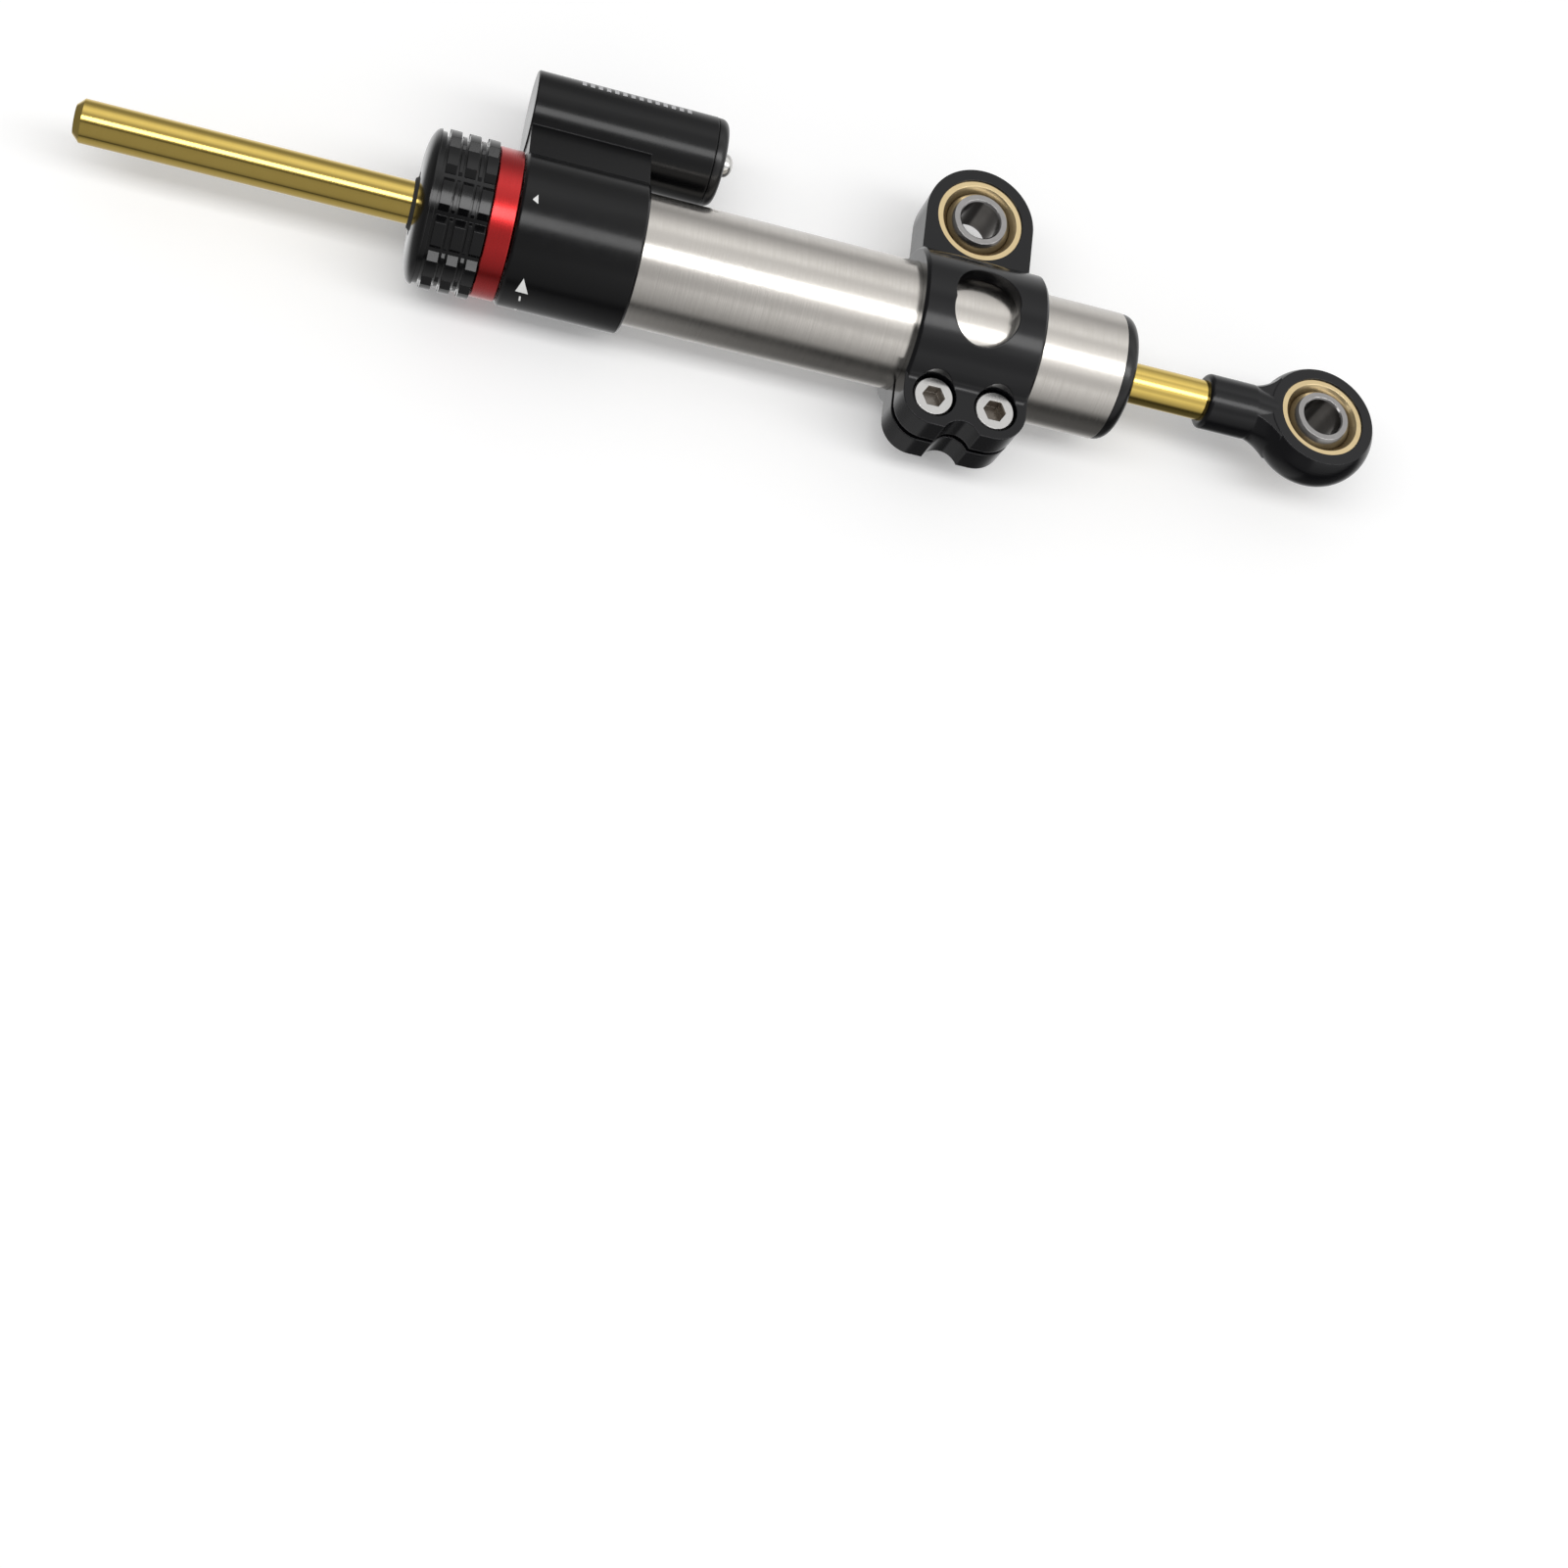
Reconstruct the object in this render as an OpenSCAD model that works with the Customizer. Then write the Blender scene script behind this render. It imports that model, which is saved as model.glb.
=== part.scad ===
// Linear steering damper for a motorcycle: a through-rod, twin-tube oil damper.
// X runs along the rod, Y to the reservoir's side, Z up along the bolt of the body eye.
// The origin is the middle of the body eye's ball, where the damper is bolted on.

/* [Rod] */
// Diameter of the piston rod
rod_d = 8; // [7.6:0.1:8.4]
// Length of rod that shows in front of the knob
rod_front = 61.4; // [58:0.1:90]
// Chamfer on the rod's free end
rod_chamfer = 1.3; // [0.5:0.1:2]
// Length of rod screwed into the rod end
thread_len = 12; // [8:0.5:14]
// Travel of the rod towards its free end
stroke_in = 13; // [4:0.5:14]
// Travel of the rod towards its eye
stroke_out = 52; // [40:1:58]
// Gap left between rod end and end cap at full travel
bump_gap = 5; // [2:0.5:8]

/* [Tubes] */
// Outer diameter of the outer tube
tube_d = 25; // [24.6:0.1:26]
// Wall of the outer tube
tube_wall = 1.4; // [1:0.1:1.6]
// Depth of the outer tube in the head
socket_len = 12; // [10:0.5:13]
// Bore of the inner tube
cyl_bore = 17; // [16.6:0.1:17.4]
// Wall of the inner tube
cyl_wall = 1; // [0.8:0.1:1.2]

/* [Piston] */
// Length of the piston
piston_len = 12; // [10:0.5:16]
// Width of the piston ring
ring_w = 3; // [2:0.5:4]
// Depth of the piston ring's groove
ring_depth = 1.2; // [0.8:0.1:1.6]
// Diameter of each bleed hole through the piston
bleed_d = 1.2; // [0.8:0.1:1.6]
// Gap between the piston and a guide at full travel
end_gap = 1; // [0.5:0.1:2]

/* [Guides] */
// Length of each guide's flange
guide_len = 9; // [8:0.5:12]
// Length of each guide's spigot in the inner tube
spigot_len = 3; // [2:0.5:5]
// Outer diameter of a rod seal
seal_d = 13; // [12:0.1:13.4]
// Thickness of a rod seal
seal_t = 3.5; // [2.5:0.1:4]
// Diameter of each flow port in the front guide
port_d = 1.4; // [1:0.1:1.5]

/* [Head] */
// Diameter of the head's collar
head_d = 29; // [28.6:0.1:31]
// Length of the head
head_len = 23.5; // [22:0.1:27]
// Wall between the knob and the metering valve
hub_wall = 3.4; // [3:0.1:4]
// Half height of the web where it leaves the collar
web_in = 10.2; // [8:0.1:11]
// Half height of the web where it meets the reservoir
web_out = 6.3; // [5:0.1:7]
// Chamfer round the head's ends
head_chamfer = 0.5; // [0.2:0.1:0.8]

/* [Reservoir] */
// Distance from the rod to the reservoir's axis
res_offset = 24.6; // [23:0.1:26]
// Outer diameter of the reservoir
res_d = 17; // [16:0.1:18]
// Bore of the reservoir
res_bore = 12.4; // [11.6:0.1:12.8]
// Length of the reservoir without its cap
res_len = 35.2; // [30:0.1:40]
// Thickness of the reservoir cap outside the bore
res_cap_t = 2.2; // [1.8:0.1:3]
// Depth of the reservoir cap in the bore
res_plug = 4.4; // [3.6:0.1:5]
// Length of the floating piston
float_len = 7; // [6:0.1:7.4]
// Travel of the floating piston each way
float_travel = 3.5; // [2:0.1:3.6]

/* [Adjuster] */
// Diameter over the knob's grip pads
knob_d = 29.5; // [29:0.1:32]
// Length of the knob in front of the coloured ring
knob_len = 13; // [13:0.1:16]
// Diameter of the knob's core under the grip
core_d = 26.6; // [26:0.1:27]
// Diameter over the low rings between the pads
rib_d = 27.9; // [27.4:0.1:28.4]
// Number of grip pads round the knob
pad_count = 12; // [8:1:16]
// Share of each pitch that a grip pad fills
pad_share = 0.53; // [0.5:0.01:0.8]
// Angle to which the knob is turned, as it is shown
pad_phase = 17.5; // [0:0.5:30]
// Width of a band of grip pads
pad_w = 2; // [1.6:0.1:2.4]
// Pitch from one band of grip pads to the next
pad_pitch = 3.55; // [3.2:0.05:3.9]
// Length of the knob's domed nose
nose_len = 2.3; // [1.6:0.1:2.6]
// Diameter of the coloured ring
band_d = 28; // [27:0.1:28.6]
// Length of the coloured ring
band_len = 4.8; // [4:0.1:6]
// Diameter of the metering sleeve's hub
hub_d = 12; // [11.4:0.1:12.6]
// Thickness of the metering disc
disc_t = 3.7; // [3.4:0.1:4.4]
// Number of click grooves round the metering disc
click_count = 24; // [12:1:36]
// Angle that the knob turns between its stops
knob_turn = 300; // [240:5:310]

/* [Clamp] */
// Width of the clamp along the tube
clamp_w = 24.6; // [24:0.1:32]
// Outer diameter of the clamp's band
clamp_d = 31; // [30.4:0.1:34]
// Distance from the head to the clamp
clamp_gap = 53.6; // [45:0.1:60]
// Distance from the rod to the body eye
eye_offset = 24.4; // [23.5:0.1:28]
// Radius of the lug round the body eye
lug_r = 11; // [10.6:0.1:12]
// Thickness of the lug
lug_t = 9; // [8.8:0.1:10]
// Size of the window along the tube
window_x = 13; // [8:0.1:14]
// Size of the window round the tube
window_y = 16.2; // [14.2:0.1:17]
// Gap between the two ears
split = 1.5; // [1:0.1:2]
// Half height of the ears
ear_h = 6.9; // [6.6:0.1:7.4]

/* [Clamp screws] */
// Distance between the two screws
screw_pitch = 12.3; // [11:0.1:13]
// Distance from the rod to the screws
screw_y = 16.8; // [16.8:0.1:17.6]
// Thread diameter of the screws
screw_d = 5; // [4.6:0.1:5]
// Head diameter of the screws
screw_head_d = 8; // [7.6:0.1:8.4]
// Head height of the screws
screw_head_h = 4; // [3.6:0.1:4.2]
// Width of the screws' hexagon socket
screw_hex = 4; // [3.6:0.1:4.4]

/* [Bearings] */
// Bore of each ball, for an M8 bolt
ball_bore = 8; // [7.6:0.1:8.4]
// Diameter of each ball's sphere
ball_d = 14.3; // [14:0.1:14.6]
// Width of each ball
ball_w = 9.5; // [9:0.1:9.8]
// Outer diameter of each race
race_d = 17.4; // [16.8:0.1:17.6]
// Width of each race
race_w = 8.4; // [8:0.1:8.7]

/* [Rod end] */
// Diameter of the rod end's shank
shank_d = 11; // [10.6:0.1:12]
// Distance from the shank's lip to the rod eye
shank_len = 24.3; // [22:0.1:28]
// Diameter of the rod end's eye
rod_eye_d = 24.8; // [23:0.1:26]
// Thickness of the rod end's eye
rod_eye_t = 9; // [8.8:0.1:10]
// Roll of the rod end about the rod, as it is shown
eye_roll = -6; // [-20:1:20]

/* [End cap] */
// Length of the end cap outside the tube
cap_lip = 3; // [2.4:0.1:4]
// Depth of the end cap in the tube
cap_plug = 5.6; // [5:0.1:8]
// Thickness of the retaining ring in the tube
clip_t = 1.2; // [1:0.1:1.4]

/* [Hidden] */
$fn = 72;
eps = 0.01;

// Clearances on the radius
run_fit = 0.03;
seat_fit = 0.02;
guide_fit = 0.04;
free_fit = 0.3;

// O-rings: thickness of each ring, and how much wider its groove is
oring_t = 1.5;
small_oring_t = 1.1;
groove_play = 0.3;
squeeze = 0.02;

// Radii that several pieces share
rod_r = rod_d / 2;
tube_r = tube_d / 2;
bore_r = tube_r - tube_wall;
cyl_in = cyl_bore / 2;
cyl_out = cyl_in + cyl_wall;
guide_r = bore_r - guide_fit;
hub_r = hub_d / 2;
disc_play = 0.15;
disc_r = bore_r - disc_play;
seal_r = seal_d / 2;
port_r = cyl_out + port_d / 2;
inner_port_r = (seal_r + cyl_in) / 2;
pad_r = knob_d / 2;
core_r = core_d / 2;

rear_extra = 1.7;

// Places along the rod, from the head's collar outwards
head_x1 = -(clamp_w / 2 + clamp_gap);
head_x0 = head_x1 - head_len;
shoulder_x = head_x0 + hub_wall;
disc_gap = 0.1;
disc_x0 = shoulder_x + disc_gap;
disc_x1 = disc_x0 + disc_t;
front_x0 = disc_x1 + 2 * disc_gap;
front_x1 = front_x0 + guide_len;
room_x0 = front_x1 + spigot_len;
room_x1 = room_x0 + stroke_in + stroke_out + piston_len + 2 * end_gap;
rear_x0 = room_x1 + spigot_len;
rear_x1 = rear_x0 + guide_len + rear_extra;
clip_gap = 0.2;
plug_x = rear_x1 + clip_t + clip_gap;
rim_x = plug_x + cap_plug;
cap_x = rim_x + cap_lip;
tube_x0 = head_x1 - socket_len;
piston_x0 = room_x0 + end_gap + stroke_in;
piston_x1 = piston_x0 + piston_len;
lip_x = cap_x + stroke_in + bump_gap;
eye_x = lip_x + shank_len;
rod_x1 = lip_x + thread_len;

// Places along the rod in front of the head
knob_gap = 0.2;
band_x1 = head_x0 - knob_gap;
band_x0 = band_x1 - band_len;
knob_x0 = band_x0 - knob_len;
rod_x0 = knob_x0 - rod_front;
spool_r = 11;
wiper_t = 2.2;
wiper_r = 6;
wiper_lip = 0.6;
wiper_slope = 0.6;
nose_wall = 0.7;
hub_x0 = knob_x0 + wiper_t + nose_wall;
grub_d = 3;
grub_len = 5;
grub_x = band_x0 - pad_pitch;
grub_pads = [0, 9];

// Places along the reservoir
res_r = res_d / 2;
res_bore_r = res_bore / 2;
res_x0 = head_x0;
res_wall = 3;
res_floor = res_x0 + res_wall;
res_x1 = res_x0 + res_len;
res_plug_x = res_x1 - res_plug;
float_gap = 0.5;
float_x1 = res_plug_x - float_gap - float_travel;
float_x0 = float_x1 - float_len;
passage_d = 2.6;
passage_in = 2;
passage_x = front_x0 + passage_in;
gallery_w = 2;
bleed_head_d = 4.6;
bleed_head_h = 3.3;
bleed_shank_d = 3;
bleed_shank_len = 5;
bleed_hex = 2;

// Share of a screw's head, or of a grub screw, that its key socket takes
key_share = 0.6;

// The stop pin runs in a groove of the metering disc
stop_d = 2;
stop_ring_r = 8.6;
stop_out = 0.9;
stop_in = 2.4;
stop_room = 1.1;
stop_play = 0.15;
pocket_t = 1.1;

// The click ball sits in the disc's edge, pushed back to the lands between the grooves
click_d = 2.2;
click_hole_play = 0.1;
click_depth = 4.6;
click_groove = 0.35;
click_gap = 0.03;
click_x = disc_x0 + disc_t / 2;
click_r = bore_r - click_gap - click_d / 2;
spring_wire = 0.3;
spring_turns = 3;
spring_r = 0.75;
spring_rings = 8;
spring_sides = 6;

// The ears' lobes and the clamp's inner edge
lobe_r = screw_pitch / 2;
dip_depth = 2.1;
dip_r = 4;
cbore_play = 0.35;
head_sink = 0.5;
thread_play = 0.03;
hole_play = 0.25;
ear_screw_out = 0.5;

// Circlips on the rod, either side of the piston
circlip_t = 0.8;
circlip_out = 1.2;
circlip_depth = 0.5;
circlip_gap = 0.1;
circlip_mouth = 50;

// O-ring grooves: half widths and places
groove_half = (small_oring_t + groove_play) / 2;
guide_groove = (oring_t + groove_play) / 2;
oring_x = (tube_x0 + head_x1) / 2;
groove_land = 1;
front_groove_x = front_x1 - guide_groove - groove_land;
rear_groove_x = rear_x0 + guide_groove + groove_land;
cap_oring_x = plug_x + cap_plug / 2;
res_oring_x = res_plug_x + res_plug / 2;
float_oring_x = float_x0 + groove_half + groove_land;
sleeve_oring_t = 0.8;
sleeve_groove = 0.55;
sleeve_oring_x = (head_x0 + shoulder_x) / 2;

// Web of the head: where its slopes leave the collar and meet the reservoir
web_y = sqrt(pow(head_d / 2, 2) - pow(web_in, 2));
web_back = sqrt(pow(res_r, 2) - pow(web_out, 2));

// Retaining ring and its groove in the outer tube
clip_depth = 0.7;
clip_play = 0.1;
clip_in = 9.4;
clip_mouth = 5;

// Rod seals: the slot that parts the lip from the rest
seal_lip_out = 5.6;
seal_lip_in = 4.8;
seal_slot = 1.4;

// Rounded caps
cap_inset = 0.1;
cap_r = tube_r - cap_inset;
cap_land = 0.2;
cap_round = min(cap_lip - cap_land, 2.4);
res_round = 1.6;

// Bleed screw: how far its seat is sunk, and the edge of its dome
bleed_sink = 0.7;
bleed_seat_x = res_x1 + res_cap_t - bleed_sink;
bleed_edge = 1.6;

// Cup in the floating piston's gas side
float_rim = 2.4;
float_cup = 3;

// Knob: pads, low rings, nose and valleys
first_pad = 3.8;
rib_w = 0.65;
nose_rib = 0.9;
nose_step = 0.1;
nose_flat = 8;
nose_inset = 0.3;
valley_w = 2 * PI * pad_r / pad_count * (1 - pad_share);
valley_floor = 0.75;
valley_over = 1;
valley_top = valley_w + (valley_w - valley_floor) * valley_over / (pad_r - core_r);
grub_hex = 1.5;

// Metering disc: pockets, click hole and the land beside the stop pin
pocket_r = (port_r - inner_port_r + port_d) / 2;
port_inset = 0.1;
click_angle = 90;
land_play = 1;
land_half = (360 - knob_turn) / 2 - land_play
    - asin((stop_d / 2 + stop_play) / stop_ring_r);
spring_y0 = disc_r - click_depth + spring_wire / 2 + eps;
spring_y1 = click_r - click_d / 2 - spring_wire / 2 - eps;

// Piston and circlips
piston_chamfer = 0.4;
piston_mid = (piston_x0 + piston_x1) / 2;
circlip_at = [piston_x0 - circlip_gap - circlip_t, piston_x1 + circlip_gap];

// Rod end: shank, eye and the arcs of its neck
shank_r = shank_d / 2;
shank_round = 0.9;
rod_eye_r = rod_eye_d / 2;
barrel_r = 7.5;
barrel_steps = 8;
neck_blend = 4;
neck_sink = 0.2;
neck_in = 0.2;
neck_bite = 0.3;
neck_h = rod_eye_t / 2 - neck_sink;
neck_r = 9;
neck_y0 = shank_r - neck_in;
neck_reach = neck_r + rod_eye_r - neck_bite;
neck_x = -sqrt(pow(neck_reach, 2) - pow(neck_y0 + neck_r, 2));
neck_turn = acos((neck_y0 + neck_r) / neck_reach);
neck_end = neck_x + neck_r * sin(neck_turn);

// Bearings: flared mouth of a race, chamfer of a ball
mouth_rim = 1.1;
mouth_r = race_d / 2 - mouth_rim;
flare_depth = 1.5;
flare_slope = 0.85;
ball_chamfer = 0.3;

// Clamp and its screws
clamp_chamfer = 0.6;
screw_seat = ear_h - head_sink - screw_head_h;
ear_root = clamp_d / 4;
ear_fillet = 2;
lug_fillet = 1;
fillet_sink = 0.3;
screw_edge = 0.3;

// Solid of revolution about the rod's line, from [radius, x] points
module turned(points)
    rotate([0, 90, 0])
        rotate_extrude()
            polygon(points);

// Plain bar about the rod's line
module bar(r, x0, x1)
    translate([x0, 0, 0])
        rotate([0, 90, 0])
            cylinder(r = r, h = x1 - x0);

// Plain tube about the rod's line
module pipe(r_out, r_in, x0, x1)
    difference() {
        bar(r_out, x0, x1);
        bar(r_in, x0 - 1, x1 + 1);
    }

// O-ring about the rod's line, between an inner and an outer radius
module oring(r_in, r_out, x)
    translate([x, 0, 0])
        rotate([0, 90, 0])
            rotate_extrude()
                translate([(r_in + r_out) / 2, 0])
                    circle(r = (r_out - r_in) / 2 - squeeze, $fn = 32);

// Moves a piece from the rod's line to its place beside the body eye
module on_rod()
    translate([0, -eye_offset, 0])
        children();

// Moves a piece to the reservoir's line
module on_reservoir()
    on_rod()
        translate([0, res_offset, 0])
            children();

// Turns and moves a piece to the rod eye
module at_rod_eye()
    on_rod()
        translate([eye_x, 0, 0])
            rotate([eye_roll, 0, 0])
                children();

// Hexagon key socket, its width across flats, pointing down from the origin
module key_socket(across, depth)
    translate([0, 0, -depth])
        cylinder(d = across / cos(30), h = depth + 1, $fn = 6);

// Points of an arc, from angle a0 to a1
function arc(cx, cy, r, a0, a1, n) =
    [for (i = [0:n]) let (a = a0 + (a1 - a0) * i / n) [cx + r * cos(a), cy + r * sin(a)]];

module outer_tube()
    color("silver") on_rod()
        difference() {
            pipe(tube_r, bore_r, tube_x0, rim_x);
            pipe(bore_r + clip_depth, bore_r - 1, rear_x1, rear_x1 + clip_t + clip_gap / 2);
        }

module inner_tube()
    color("lightgray") on_rod()
        difference() {
            pipe(cyl_out, cyl_in, front_x1, rear_x0);
            // Return ports at the far end
            for (a = [0:90:270])
                translate([room_x1 - 2 * port_d, 0, 0])
                    rotate([a, 0, 0])
                        cylinder(d = port_d, h = cyl_out + 1);
        }

// Collar, web and reservoir in one casting
module head()
    color([0.08, 0.08, 0.09]) on_rod()
        difference() {
            union() {
                chamfered_bar(head_d / 2, head_x0, head_x1, head_chamfer);
                translate([0, res_offset, 0])
                    chamfered_bar(res_r, res_x0, res_x1, head_chamfer / 2);
                web();
            }
            bar(tube_r + seat_fit, tube_x0, head_x1 + 1);
            bar(bore_r, shoulder_x, head_x1);
            bar(hub_r + run_fit, head_x0 - 1, head_x1);
            translate([0, res_offset, 0])
                bar(res_bore_r, res_floor, res_x1 + 1);
            pipe(tube_r + small_oring_t, tube_r - 1, oring_x - groove_half, oring_x + groove_half);
            // Passage from the valve to the reservoir
            translate([passage_x, bore_r - 1, 0])
                rotate([-90, 0, 0])
                    cylinder(d = passage_d, h = res_offset - bore_r);
            stop_hole();
            click_grooves();
        }

module chamfered_bar(r, x0, x1, c)
    turned([[0, x0], [r - c, x0], [r, x0 + c], [r, x1 - c], [r - c, x1], [0, x1]]);

// Web from the collar to the reservoir, tapering outwards
module web()
    translate([head_x0 + head_chamfer / 2, 0, 0])
        rotate([90, 0, 90])
            linear_extrude(head_len - head_chamfer)
                polygon([[0, web_in], [web_y, web_in], [res_offset - web_back, web_out],
                    [res_offset, web_out], [res_offset, -web_out],
                    [res_offset - web_back, -web_out], [web_y, -web_in], [0, -web_in]]);

module stop_hole()
    translate([0, 0, -stop_ring_r])
        bar(stop_d / 2 + seat_fit, shoulder_x - stop_in, shoulder_x + 1);

// Axial grooves that the click ball falls into
module click_grooves()
    for (i = [0:click_count - 1])
        rotate([i * 360 / click_count, 0, 0])
            translate([0, bore_r, 0])
                bar(click_groove, shoulder_x, disc_x1);

module head_oring()
    color("black") on_rod()
        oring(tube_r, tube_r + small_oring_t, oring_x);

// Guide flange with a spigot, its rod bore and its outer O-ring groove
module guide(x_flange0, x_flange1, x_end, groove_x)
    difference() {
        union() {
            bar(guide_r, x_flange0, x_flange1);
            bar(cyl_in - seat_fit, min(x_flange0, x_end), max(x_flange1, x_end));
        }
        bar(rod_r + run_fit, min(x_flange0, x_end) - 1, max(x_flange1, x_end) + 1);
        pipe(guide_r + 1, guide_r - oring_t, groove_x - guide_groove, groove_x + guide_groove);
    }

module front_guide()
    color("goldenrod") on_rod()
        difference() {
            guide(front_x0, front_x1, room_x0, front_groove_x);
            bar(seal_r + seat_fit, front_x0 - 1, front_x0 + seal_t);
            // Gallery that feeds the reservoir passage
            pipe(guide_r + 1, port_r, passage_x - gallery_w / 2, passage_x + gallery_w / 2);
            for (i = [0:3])
                rotate([45 + i * 90, 0, 0]) {
                    translate([0, port_r - port_inset, 0])
                        bar(port_d / 2, front_x0 - 1, front_x1 + 1);
                    translate([0, inner_port_r, 0])
                        bar(port_d / 2, front_x0 - 1, room_x0 + 1);
                }
        }

module rear_guide()
    color("goldenrod") on_rod()
        difference() {
            guide(rear_x0, rear_x1, room_x1, rear_groove_x);
            bar(seal_r + seat_fit, rear_x1 - seal_t, rear_x1 + 1);
        }

module guide_orings()
    color("black") on_rod() {
        oring(guide_r - oring_t, guide_r, front_groove_x);
        oring(guide_r - oring_t, guide_r, rear_groove_x);
    }

// Rod seal with a lip, its open side facing the oil
module rod_seal(x0, x1, lip_side)
    difference() {
        pipe(seal_r, rod_r + run_fit, x0, x1);
        pipe(seal_lip_out, seal_lip_in, lip_side - seal_slot, lip_side + seal_slot);
    }

module rod_seals()
    color("black") on_rod() {
        rod_seal(front_x0 + disc_gap, front_x0 + seal_t - disc_gap, front_x0 + seal_t - disc_gap);
        rod_seal(rear_x1 - seal_t + disc_gap, rear_x1, rear_x1 - seal_t + disc_gap);
    }

// Internal retaining ring, open at its mouth
module retaining_ring()
    color("dimgray") on_rod()
        difference() {
            pipe(bore_r + clip_depth - clip_play, clip_in, rear_x1, rear_x1 + clip_t);
            translate([rear_x1 - 1, -clip_mouth / 2, 0])
                cube([clip_t + 2, clip_mouth, tube_d]);
        }

// Rounded black cap with the rear wiper in its face
module end_cap()
    color([0.1, 0.1, 0.1]) on_rod()
        difference() {
            turned(concat([[0, plug_x], [bore_r - guide_fit, plug_x],
                    [bore_r - guide_fit, rim_x], [cap_r, rim_x]],
                arc(cap_r - cap_round, cap_x - cap_round, cap_round, 0, 90, 10),
                [[0, cap_x]]));
            bar(rod_r + free_fit, plug_x - 1, cap_x + 1);
            bar(wiper_r + seat_fit, cap_x - wiper_t, cap_x + 1);
            pipe(tube_r, bore_r - guide_fit - small_oring_t, cap_oring_x - groove_half,
                cap_oring_x + groove_half);
        }

module cap_oring()
    color("black") on_rod()
        oring(bore_r - guide_fit - small_oring_t, bore_r, cap_oring_x);

// Dust wiper: a ring whose lip leans out along the rod; dir is -1 at the front, 1 at the rear
module wiper(face_x, dir)
    turned([[rod_r + run_fit, face_x - dir * (wiper_t - disc_gap)],
        [wiper_r, face_x - dir * (wiper_t - disc_gap)],
        [wiper_r, face_x - dir * disc_gap],
        [rod_r + wiper_lip + wiper_slope, face_x - dir * disc_gap],
        [rod_r + wiper_lip, face_x + dir * wiper_lip],
        [rod_r + run_fit, face_x + dir * wiper_lip]]);

module rear_wiper()
    color("black") on_rod()
        wiper(cap_x, 1);

// Screw plug that closes the reservoir
module reservoir_cap()
    color([0.1, 0.1, 0.1]) on_reservoir()
        difference() {
            turned(concat([[0, res_plug_x], [res_bore_r - seat_fit, res_plug_x],
                    [res_bore_r - seat_fit, res_x1], [res_r - cap_inset, res_x1]],
                arc(res_r - cap_inset - res_round, res_x1 + res_cap_t - res_round, res_round,
                    0, 90, 8),
                [[0, res_x1 + res_cap_t]]));
            bar(bleed_shank_d / 2 + seat_fit, res_plug_x - 1, res_x1 + res_cap_t + 1);
            bar(bleed_head_d / 2 + free_fit, bleed_seat_x, res_x1 + res_cap_t + 1);
            pipe(res_r, res_bore_r - seat_fit - small_oring_t, res_oring_x - groove_half,
                res_oring_x + groove_half);
        }

module reservoir_oring()
    color("black") on_reservoir()
        oring(res_bore_r - seat_fit - small_oring_t, res_bore_r, res_oring_x);

// Small domed screw that bleeds the reservoir
module bleed_screw()
    color("silver") on_reservoir()
        difference() {
            turned(concat([[0, bleed_seat_x - bleed_shank_len],
                    [bleed_shank_d / 2, bleed_seat_x - bleed_shank_len],
                    [bleed_shank_d / 2, bleed_seat_x], [bleed_head_d / 2, bleed_seat_x]],
                [for (i = [0:8]) let (a = i * 90 / 8)
                    [bleed_head_d / 2 * cos(a), bleed_seat_x + bleed_edge
                        + (bleed_head_h - bleed_edge) * sin(a)]]));
            translate([bleed_seat_x + bleed_head_h, 0, 0])
                rotate([0, 90, 0])
                    key_socket(bleed_hex, bleed_head_h * key_share);
        }

module stop_pin()
    color("silver") on_rod()
        translate([0, 0, -stop_ring_r])
            bar(stop_d / 2, shoulder_x - stop_in + eps, disc_x0 + stop_out);

// Piston that parts the oil from the gas in the reservoir
module floating_piston()
    color("lightgray") on_reservoir()
        difference() {
            bar(res_bore_r - run_fit, float_x0, float_x1);
            bar(res_bore_r - float_rim, float_x1 - float_cup, float_x1 + 1);
            pipe(res_r, res_bore_r - run_fit - small_oring_t, float_oring_x - groove_half,
                float_oring_x + groove_half);
        }

module floating_oring()
    color("black") on_reservoir()
        oring(res_bore_r - run_fit - small_oring_t, res_bore_r - run_fit / 2, float_oring_x);

// Bands of pads stand on the knob's core, with a low ring in each gap
module knob()
    color([0.09, 0.09, 0.09]) on_rod()
        difference() {
            union() {
                knob_nose();
                bar(core_r, knob_x0 + nose_len - eps, band_x0);
                difference() {
                    union() {
                        for (i = [0:2])
                            knob_band(pad_r, first_pad + i * pad_pitch, pad_w);
                        for (i = [1:2])
                            knob_band(rib_d / 2, first_pad + i * pad_pitch
                                - (pad_pitch - pad_w + rib_w) / 2, rib_w);
                    }
                    grip_valleys();
                }
                knob_band(rib_d / 2 + nose_step, nose_len, nose_rib);
                bar(spool_r, band_x0 - eps, band_x1);
            }
            bar(rod_r + free_fit, knob_x0 - 1, band_x1 + 1);
            bar(wiper_r + seat_fit, knob_x0 - 1, knob_x0 + wiper_t);
            bar(hub_r + seat_fit, hub_x0, band_x1 + 1);
            for (i = grub_pads)
                translate([grub_x, 0, 0])
                    rotate([pad_turn(i) - 90, 0, 0])
                        cylinder(d = grub_d + 2 * thread_play, h = knob_d);
        }

// Angle of a grip pad's middle, counted from the Y axis
function pad_turn(i) = pad_phase + i * 360 / pad_count;

// Raised band, from an offset behind the nose
module knob_band(r, offset, w)
    bar(r, knob_x0 + offset, min(knob_x0 + offset + w, band_x0));

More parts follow.
